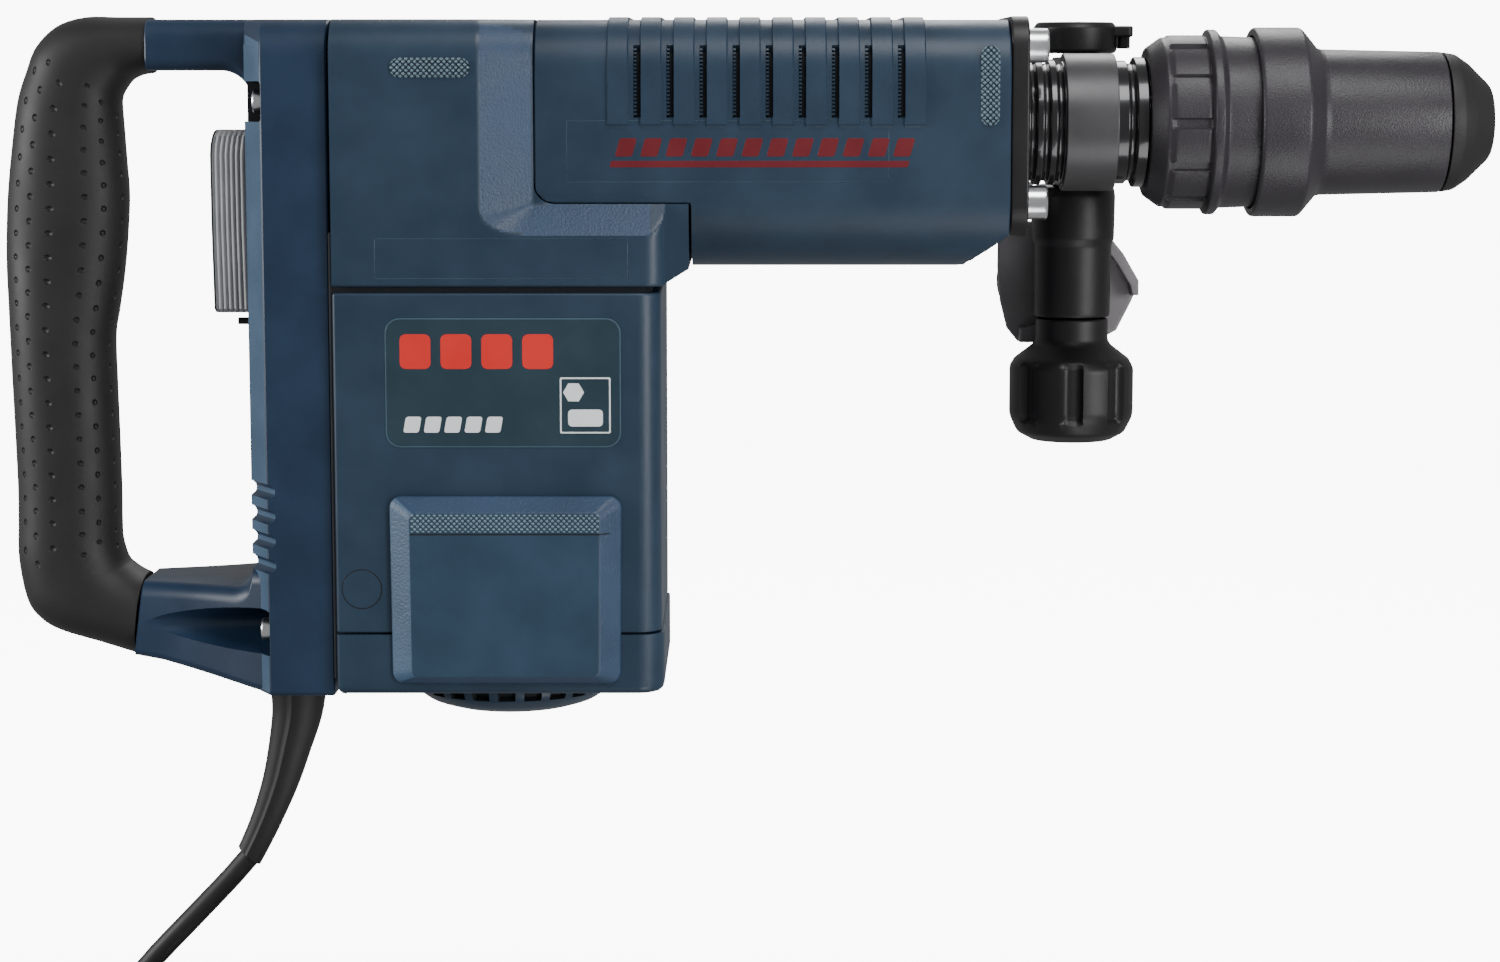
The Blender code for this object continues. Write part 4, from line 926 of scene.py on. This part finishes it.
for number in range(1, 5):
    cap_screw(f"flange_bolt_{number}", f"front_screw_{number}", -24.6, -17.0, 6.4, 3.4)
    cap_screw(f"handle_screw_{number}", f"frame_screw_{number}", -309.9, -314.3, 4.5, 2.3)


# ---------------------------------------------------------------- neck and side handle
# The tool's neck is a blackened steel tube with grooves. A grey steel band round it carries the post, the
# guard and the rubber bar of the side handle, and a knob under the post tightens it.

gloss_black = surface("gloss_black", (0.02, 0.02, 0.022), 0.20, metallic=0.5, grain=2.0, height=0.01,
                      coat=0.3)
band_grey = surface("band_grey", (0.050, 0.049, 0.052), 0.42, metallic=0.3)
# The guard's grey is raised well above its own as painted light, because the lamps hardly reach it behind the
# post.
guard_grey_painted_light = surface("guard_grey_painted_light", (0.18, 0.17, 0.18), 0.5, grain=0.5, height=0.12)
neck = soften([(-24.6, 0), (-24.6, 24), (-22.6, 24), (-21.9, 22.4), (-20.6, 22.4), (-19.8, 24), (-17.4, 24),
               (-16.6, 22.4), (-15.4, 22.4), (-14.6, 24), (-12.2, 24), (-11.4, 22.4), (-10.2, 22.4),
               (-9.4, 23.6), (15.0, 23.6), (15.9, 22.4), (17.2, 22.4), (18.2, 24.9), (22.3, 24.9),
               (22.3, 0)], 0.4)
finish_piece(shells("neck_tube", [round_loops(neck, count=128)], 30), gloss_black, nodes=["neck_sleeve"])
bolt_x, bolt_y = ((c[0] + c[1]) / 2 / MM
                  for c in zip(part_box("clamp_knob")[0][:2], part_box("clamp_knob")[1][:2]))
band = soften([(-8.9, 24.4), (-8.9, 26.3), (10.9, 26.3), (10.9, 24.4)], 0.6)
ears = [slab(rounded_box((-8.4, 14), (10.4, 57), (1, 1, 9, 9), 6), "Z", z, z + 7, 0.8)
        for z in (18.0, -25.0)]
finish_piece(shells("band_ring", [round_loops(band, count=128)] + ears, 35), band_grey, "side_handle",
             ["clamp_band"])
post_top = soften([(26.6, 0), (26.6, 15.6), (27.6, 16.6), (36.9, 16.6), (38.9, 15.0), (38.9, 0)], 0.7)
latch = slab(rounded_box((12.5, bolt_y - 7), (23.6, bolt_y + 7), (2,) * 4, 4), "Z", 33.0, 37.4, 0.8)
catch = slab(rounded_box((18.0, bolt_y - 5), (22.6, bolt_y + 5), (1.2,) * 4, 3), "Z", 28.4, 33.6, 0.6)
rod = [(-78, 0), (-78, 4.0), (26, 4.0), (26, 0)]
finish_piece(shells("post_cap", [round_loops(post_top, "Z", (bolt_x, bolt_y), 96), latch, catch,
                                 round_loops(rod, "Z", (bolt_x, bolt_y), 32)], 35),
             black_plastic, "side_handle", ["clamp_bolt"])
post = soften([(-78.4, 0), (-78.4, 14.9), (-77.4, 15.2), (-50, 15.5), (-47, 16.6), (-30, 16.9),
               (-26.5, 16.2), (-25.5, 14), (-25.5, 0)], 0.7)
boss = round_loops(soften([(60, 0), (60, 12.4), (72.6, 12.4), (72.6, 0)], 0.5), "Y", (2, -62), 64)
finish_piece(shells("side_post", [round_loops(post, "Z", (bolt_x, bolt_y), 96), boss], 35), black_plastic,
             "side_handle", ["handle_bracket"])


def knob_rows():
    """A turned knob with eight broad hollows round its rim."""
    profile = soften([(-128.4, 0), (-128.4, 15.5), (-125.2, 21.5), (-119.5, 24.6), (-117, 25.3),
                      (-98.6, 25.3), (-95.4, 23.2), (-89.6, 15.6), (-87.6, 14.5), (-79.0, 14.5),
                      (-79.0, 0)], 1.4, 5)
    dense = []
    for p, q in zip(profile, profile[1:]):
        n = max(1, int(np.hypot(*(q - p)) / 1.5)) if p[1] > 12 else 1
        dense += [p + (q - p) * k / n for k in range(n)]
    dense.append(profile[-1])
    t = np.linspace(0, math.tau, 240, endpoint=False)
    lobe = np.clip((np.cos(t * 8 + 0.6) - 0.15) / 0.6, 0, 1) ** 0.6
    rows = []
    for z, r in dense:
        reach = (np.clip((r - 20.5) / 3, 0, 1) * np.clip((z + 121) / 2.5, 0, 1)
                 * np.clip((-96.0 - z) / 2.5, 0, 1))
        spread = max(r, 0.01) - 2.6 * reach * lobe
        rows.append(np.stack([bolt_x + spread * np.cos(t), bolt_y + spread * np.sin(t), np.full(240, z)], 1))
    return np.array(rows)


finish_piece(shells("side_knob", [knob_rows()], 45), black_plastic, "knob", ["clamp_knob"])
guard_outline = [(-27.2, -44), (-27.4, -60), (-26.2, -74), (-23.4, -85), (-19.0, -90.4), (-10, -91),
                 (14, -90), (21.5, -86), (27.5, -74), (29, -70.5), (29, -67), (27.5, -64), (15, -47.5),
                 (9, -43), (-20, -41)]
guard = slab(guard_outline, "Y", 73.0, 79.0, 1.5)
guard_rim = slab([(8, -40), (14, -43), (23, -54), (29.4, -65), (29.4, -71), (26.6, -71), (25.8, -67),
                  (20, -57.5), (12, -47.5), (6, -45)], "Y", 64.0, 74.0, 0.9)
guard_foot = slab([(-19, -90), (-18.6, -84.5), (-12, -83.5), (-11, -90)], "Y", 62.0, 74.0, 0.8)
grip_bar = soften([(78, 0), (78, 16), (84, 16.2), (96, 16.8), (125, 18.2), (152, 17.6), (172, 16.2),
                   (180, 21), (187, 22), (193, 18), (195, 9), (195, 0)], 4.0, 5)
grip_rows = round_loops(grip_bar, "Y", (2, -72), 96)
finish_piece(shells("side_guard", [guard, guard_rim, guard_foot], 40), guard_grey_painted_light, "side_handle")
finish_piece(shells("side_rubber", [grip_rows], 40), rubber, "side_handle", ["side_grip"])


# ---------------------------------------------------------------- tool holder
# A dark moulded ring with finger pads sets the chisel's angle, the sleeve behind the nose unlocks the shank,
# and a rubber nose keeps dust out of the 18 mm socket.

chuck_plastic = surface("chuck_plastic", (0.0225, 0.0200, 0.0240), 0.40, grain=0.7, height=0.38)


def dense_profile(profile, spacing):
    """The profile with extra points on its straight stretches, about spacing apart."""
    out = []
    for p, q in zip(profile, profile[1:]):
        n = max(1, int(np.hypot(*(q - p)) / spacing))
        out += [p + (q - p) * k / n for k in range(n)]
    return np.array(out + [profile[-1]])


def ring_rows():
    """The angle ring: twelve raised pads with a groove between each two."""
    profile = dense_profile(soften([(22.8, 19.6), (22.8, 28.2), (28.7, 32.4), (45.0, 32.4), (46.2, 35.4),
                                    (49.4, 35.4), (51.4, 32.9), (67.9, 32.3), (67.9, 19.6)], 0.5), 1.0)
    t = np.linspace(0, math.tau, 288, endpoint=False)
    pad = np.clip((0.82 - np.abs(np.mod(t * 12 / math.tau, 1) - 0.5) * 2) / 0.07, 0, 1)
    rows = []
    for x, r in profile:
        on = np.clip((x - 30.5) / 0.8, 0, 1) * np.clip((45.2 - x) / 0.6, 0, 1) * (r > 30)
        spread = r + 0.9 * on * pad - 0.5 * on * (1 - pad)
        rows.append(np.stack([np.full(288, x), spread * np.cos(t), spread * np.sin(t)], 1))
    return np.array(rows)


def tube_piece(name, profile, count=160, smooth=35):
    """A turned piece whose profile is a closed ring, so its two ends are joined and not capped."""
    rows = profile if np.ndim(profile) == 3 else round_loops(profile, count=count)
    points = rows.reshape(-1, 3)
    faces = np.array(quads(len(rows) + 1, rows.shape[1])) % len(points)
    a, b, c = points[faces[:, 0]], points[faces[:, 1]], points[faces[:, 2]]
    if np.sum(np.cross(b - a, c - a) * a) < 0:
        faces = faces[:, ::-1]
    return mesh_object(name, points, faces.tolist(), smooth)


def closed_soft(profile, radius=0.5, steps=3):
    """soften for a profile that closes on itself."""
    profile = [profile[-1]] + list(profile) + [profile[0]]
    return soften(profile, radius, steps)[1:-1]


finish_piece(tube_piece("pad_ring", ring_rows(), smooth=40), chuck_plastic, "ring", ["angle_ring"])
sleeve_profile = closed_soft([(63.6, 33.1), (63.6, 35.5), (64.6, 36.2), (81.4, 36.2), (82.4, 35.6),
                              (88.4, 28.4), (90.4, 27.9), (136.2, 26.9), (136.2, 17.8), (124, 17.8),
                              (124, 23.4), (86, 23.4), (81, 27), (81, 33.1)], 0.6)
finish_piece(tube_piece("lock_sleeve", sleeve_profile), chuck_plastic, "sleeve", ["locking_sleeve"])
nose_profile = closed_soft([(136.8, 17.5), (136.8, 26.8), (141.5, 26.0), (146.5, 22.6), (151.2, 18.0),
                            (154.0, 15.4), (155.4, 13.4), (155.4, 10.2), (154.6, 9.6), (143.5, 9.6),
                            (143.5, 17.5)], 0.8)
finish_piece(tube_piece("nose_cap", nose_profile), rubber, "tool_holder", ["dust_cap"])


# ---------------------------------------------------------------- vent
# A domed cap under the motor, moulded in one with a ring of windows that let the cooling air in.


def vent_rows():
    """A domed cap with a ring of windows in its wall, close under the foot."""
    profile = dense_profile(soften([(-213.6, 0), (-213.6, 39.8), (-219.0, 38.6), (-223.4, 33), (-226.2, 24),
                                    (-227.5, 10), (-227.5, 0)], 2.5), 0.8)
    t = np.linspace(0, math.tau, 432, endpoint=False)
    window = np.clip((0.64 - np.abs(np.mod(t * 24 / math.tau + 0.5, 1) - 0.5) * 2) / 0.08, 0, 1)
    rows = []
    for z, r in profile:
        open_here = np.clip((z + 218.9) / 0.5, 0, 1) * np.clip((-214.9 - z) / 0.3, 0, 1) * (r > 36)
        spread = max(r, 0.01) - 3.0 * open_here * window
        rows.append(np.stack([-221.5 + spread * np.cos(t), spread * np.sin(t), np.full(432, z)], 1))
    return np.array(rows)


vent = finish_piece(shells("vent_dome", [vent_rows()], 40), body_blue, nodes=["vent_grille"])
vent.data.materials.append(dark_joint_and_painted_shade)
# The faces sunk inside the windows take the near-black as painted shade.
middle = np.array([p.center[:] for p in vent.data.polygons]) / MM
inner = np.hypot(middle[:, 0] + 221.5, middle[:, 1]) < 37.8
sunk = inner & (middle[:, 2] > -218.8) & (middle[:, 2] < -215)
vent.data.polygons.foreach_set("material_index", sunk.astype(np.int32))


# ---------------------------------------------------------------- knurled pads
# Four patches of small pyramids are moulded on the flanks of the gear housing and the barrel cover.


def knurled_pad(name, centre, length, width, y, upright):
    """A stadium patch of small pyramids on the flank, fading to its rim."""
    n, m = int(length / 0.22), int(width / 0.22)
    a, b = np.meshgrid(np.linspace(-length / 2, length / 2, n), np.linspace(-1, 1, m), indexing="ij")
    rounding = np.clip((np.abs(a) - (length - width) / 2) / (width / 2), 0, 1)
    reach = np.sqrt(np.clip(1 - rounding**2, 0, 1)) * width / 2
    b = b * reach
    rise = np.abs(np.sin((a + b) * 1.45)) * np.abs(np.sin((a - b) * 1.45))
    rim = np.clip((1 - np.abs(b) / np.maximum(reach, 0.01)) * 6, 0, 1)
    out = y * (1 + (0.1 + 0.9 * rise * rim + 0.15 * rim) / abs(y))
    along, other = (b, a) if upright else (a, b)
    points = np.stack([centre[0] + along, out, centre[1] + other], -1)
    faces = quads(n, m, closed=False)
    if (y < 0) == upright:
        faces = [f[::-1] for f in faces]
    # Its points take the painted highlight and its valleys the painted shade.
    pad = finish_piece(mesh_object(name, points, faces, 60), knurl_painted_highlight)
    shade_knurl_valleys(pad, rise, knurl_painted_shade)


for side, word in ((-1, "right"), (1, "left")):
    knurled_pad("gear_pad_" + word, (-246.7, 20.8), 29.6, 7.4, side * HOUSING_HALF, False)
    knurled_pad("barrel_pad_" + word, (-39.5, 14.1), 29.8, 7.1, side * BARREL_HALF, True)


# ---------------------------------------------------------------- badge and marks
# A slate badge and printed marks on both flanks, all plain shapes: bars, blocks, a hexagon and a circle.

badge_slate = surface("badge_slate", (0.014, 0.030, 0.042), 0.35, grain=0.3, height=0.03)
mark_red = surface("mark_red", (0.50, 0.018, 0.014), 0.45, grain=0.3, height=0.02, vary=0.05)
mark_white = surface("mark_white", (0.60, 0.62, 0.63), 0.45, grain=0.3, height=0.02, vary=0.04)
mark_dull_red = surface("mark_dull_red", (0.10, 0.006, 0.010), 0.45, grain=0.3, height=0.02, vary=0.1)
rim_blue = surface("rim_blue", (0.045, 0.085, 0.115), 0.4, grain=0.3, height=0.02)


def flat_marks(name, outlines, material, y, thick=0.25):
    """Thin plates on both flanks, with their outlines in X and Z."""
    plates = [slab(outline, "Y", *sorted((side * (y - 0.3), side * (y + thick))), 0.08)
              for outline in outlines for side in (-1, 1)]
    return finish_piece(shells(name, plates), material)


def bar(x0, x1, z0, z1, lean=0.0, radius=0.4):
    """A rounded rectangle, sheared by lean."""
    outline = rounded_box((x0, z0), (x1, z1), (radius,) * 4, 3)
    outline[:, 0] += (outline[:, 1] - z0) * lean
    return outline


flat_marks("badge_rim", [rounded_box((-264.5, -119.8), (-176.8, -71.6), (5.5,) * 4, 8)], rim_blue,
           HOUSING_HALF, 0.30)
flat_marks("badge_plate", [rounded_box((-264.1, -119.4), (-177.2, -72.0), (5.2,) * 4, 8)], badge_slate,
           HOUSING_HALF, 0.42)
flat_marks("badge_red_marks", [bar(-259 + 15.2 * k, -247.5 + 15.2 * k, -90.5, -77.5, 0.0, 2.2)
                               for k in range(4)], mark_red, HOUSING_HALF, 0.55)
flat_marks("badge_white_marks", [bar(-258 + 7.6 * k, -252.2 + 7.6 * k, -114.3, -108.3, 0.18, 0.9)
                                 for k in range(5)], mark_white, HOUSING_HALF, 0.55)
flat_marks("badge_square", [rounded_box((-199.5, -114.6), (-180.6, -93.6), (0.6,) * 4, 3)], mark_white,
           HOUSING_HALF, 0.50)
flat_marks("badge_square_inner", [rounded_box((-198.9, -114.0), (-181.2, -94.2), (0.4,) * 4, 3)],
           badge_slate, HOUSING_HALF, 0.56)
hexagon = np.array([(-194.4 + 3.9 * math.cos(t), -99.2 + 3.9 * math.sin(t))
                    for t in np.linspace(0, math.tau, 6, endpoint=False)])
flat_marks("badge_symbol", [hexagon, bar(-196.5, -183.5, -112.0, -105.6, 0, 1.5)], mark_white, HOUSING_HALF,
           0.62)
stripe = [bar(-181, -70, -16.0, -13.6, 0.28, 0.5)]
stripe += [bar(-179 + 9.4 * k, -172.6 + 9.4 * k, -12.0, -5.2, 0.28, 0.8) for k in range(12)]
flat_marks("barrel_stripe", stripe, mark_dull_red, BARREL_HALF, 0.08)


def frame_line(x0, x1, z0, z1, wide=0.22):
    """Four thin bars round a rectangle."""
    return [bar(x0, x1, z0, z0 + wide, 0, 0.02), bar(x0, x1, z1 - wide, z1, 0, 0.02),
            bar(x0, x0 + wide, z0 + wide, z1 - wide, 0, 0.02),
            bar(x1 - wide, x1, z0 + wide, z1 - wide, 0, 0.02)]


flat_marks("barrel_label_edge", frame_line(-197, -77, -21.5, 1.4), rim_blue, BARREL_HALF, 0.05)
flat_marks("gear_label_edge", frame_line(-268, -174, -57, -42), rim_blue, HOUSING_HALF, 0.05)
ring_t = np.linspace(0, math.tau, 48, endpoint=False)
emblem = np.stack([-274.3 + 7.6 * np.cos(ring_t), -173.4 + 7.6 * np.sin(ring_t)], 1)
flat_marks("round_emblem", [emblem], dark_joint_and_painted_shade, HOUSING_HALF, 0.12)
flat_marks("round_emblem_face", [inset(emblem, 0.45)], body_blue, HOUSING_HALF, 0.2)


# ---------------------------------------------------------------- parts kept from the CAD
# The drive, the motor, the tool spindle and the small parts inside keep their shapes and take their real
# finish: ground steel, cast aluminium, copper, brass, carbon and black plastic.

steel = surface("steel", (0.46, 0.46, 0.48), 0.30, metallic=1.0, grain=0.3, height=0.02)
cast = surface("cast_aluminium", (0.50, 0.51, 0.52), 0.5, metallic=1.0, grain=0.9, height=0.15)
copper = surface("copper", (0.48, 0.20, 0.08), 0.35, metallic=1.0)
brass = surface("brass", (0.58, 0.42, 0.17), 0.35, metallic=1.0)
carbon = surface("carbon", (0.025, 0.025, 0.026), 0.6)
BY_SLOT = {"handle_blue": handle_blue, "body_blue": body_blue, "grip_rubber": rubber,
           "black_plastic": black_plastic, "switch_grey": paddle_grey, "band_grey": band_grey,
           "bright_steel": zinc, "ground_steel": steel, "neck_black": gloss_black, "cast_aluminium": cast,
           "copper": copper, "brass": brass, "carbon": carbon}
for part in frame["record"]["subparts"]:
    node = frame["nodes"][part["node"]]
    node.data.materials.clear()
    node.data.materials.append(BY_SLOT[part["material_slot"]])
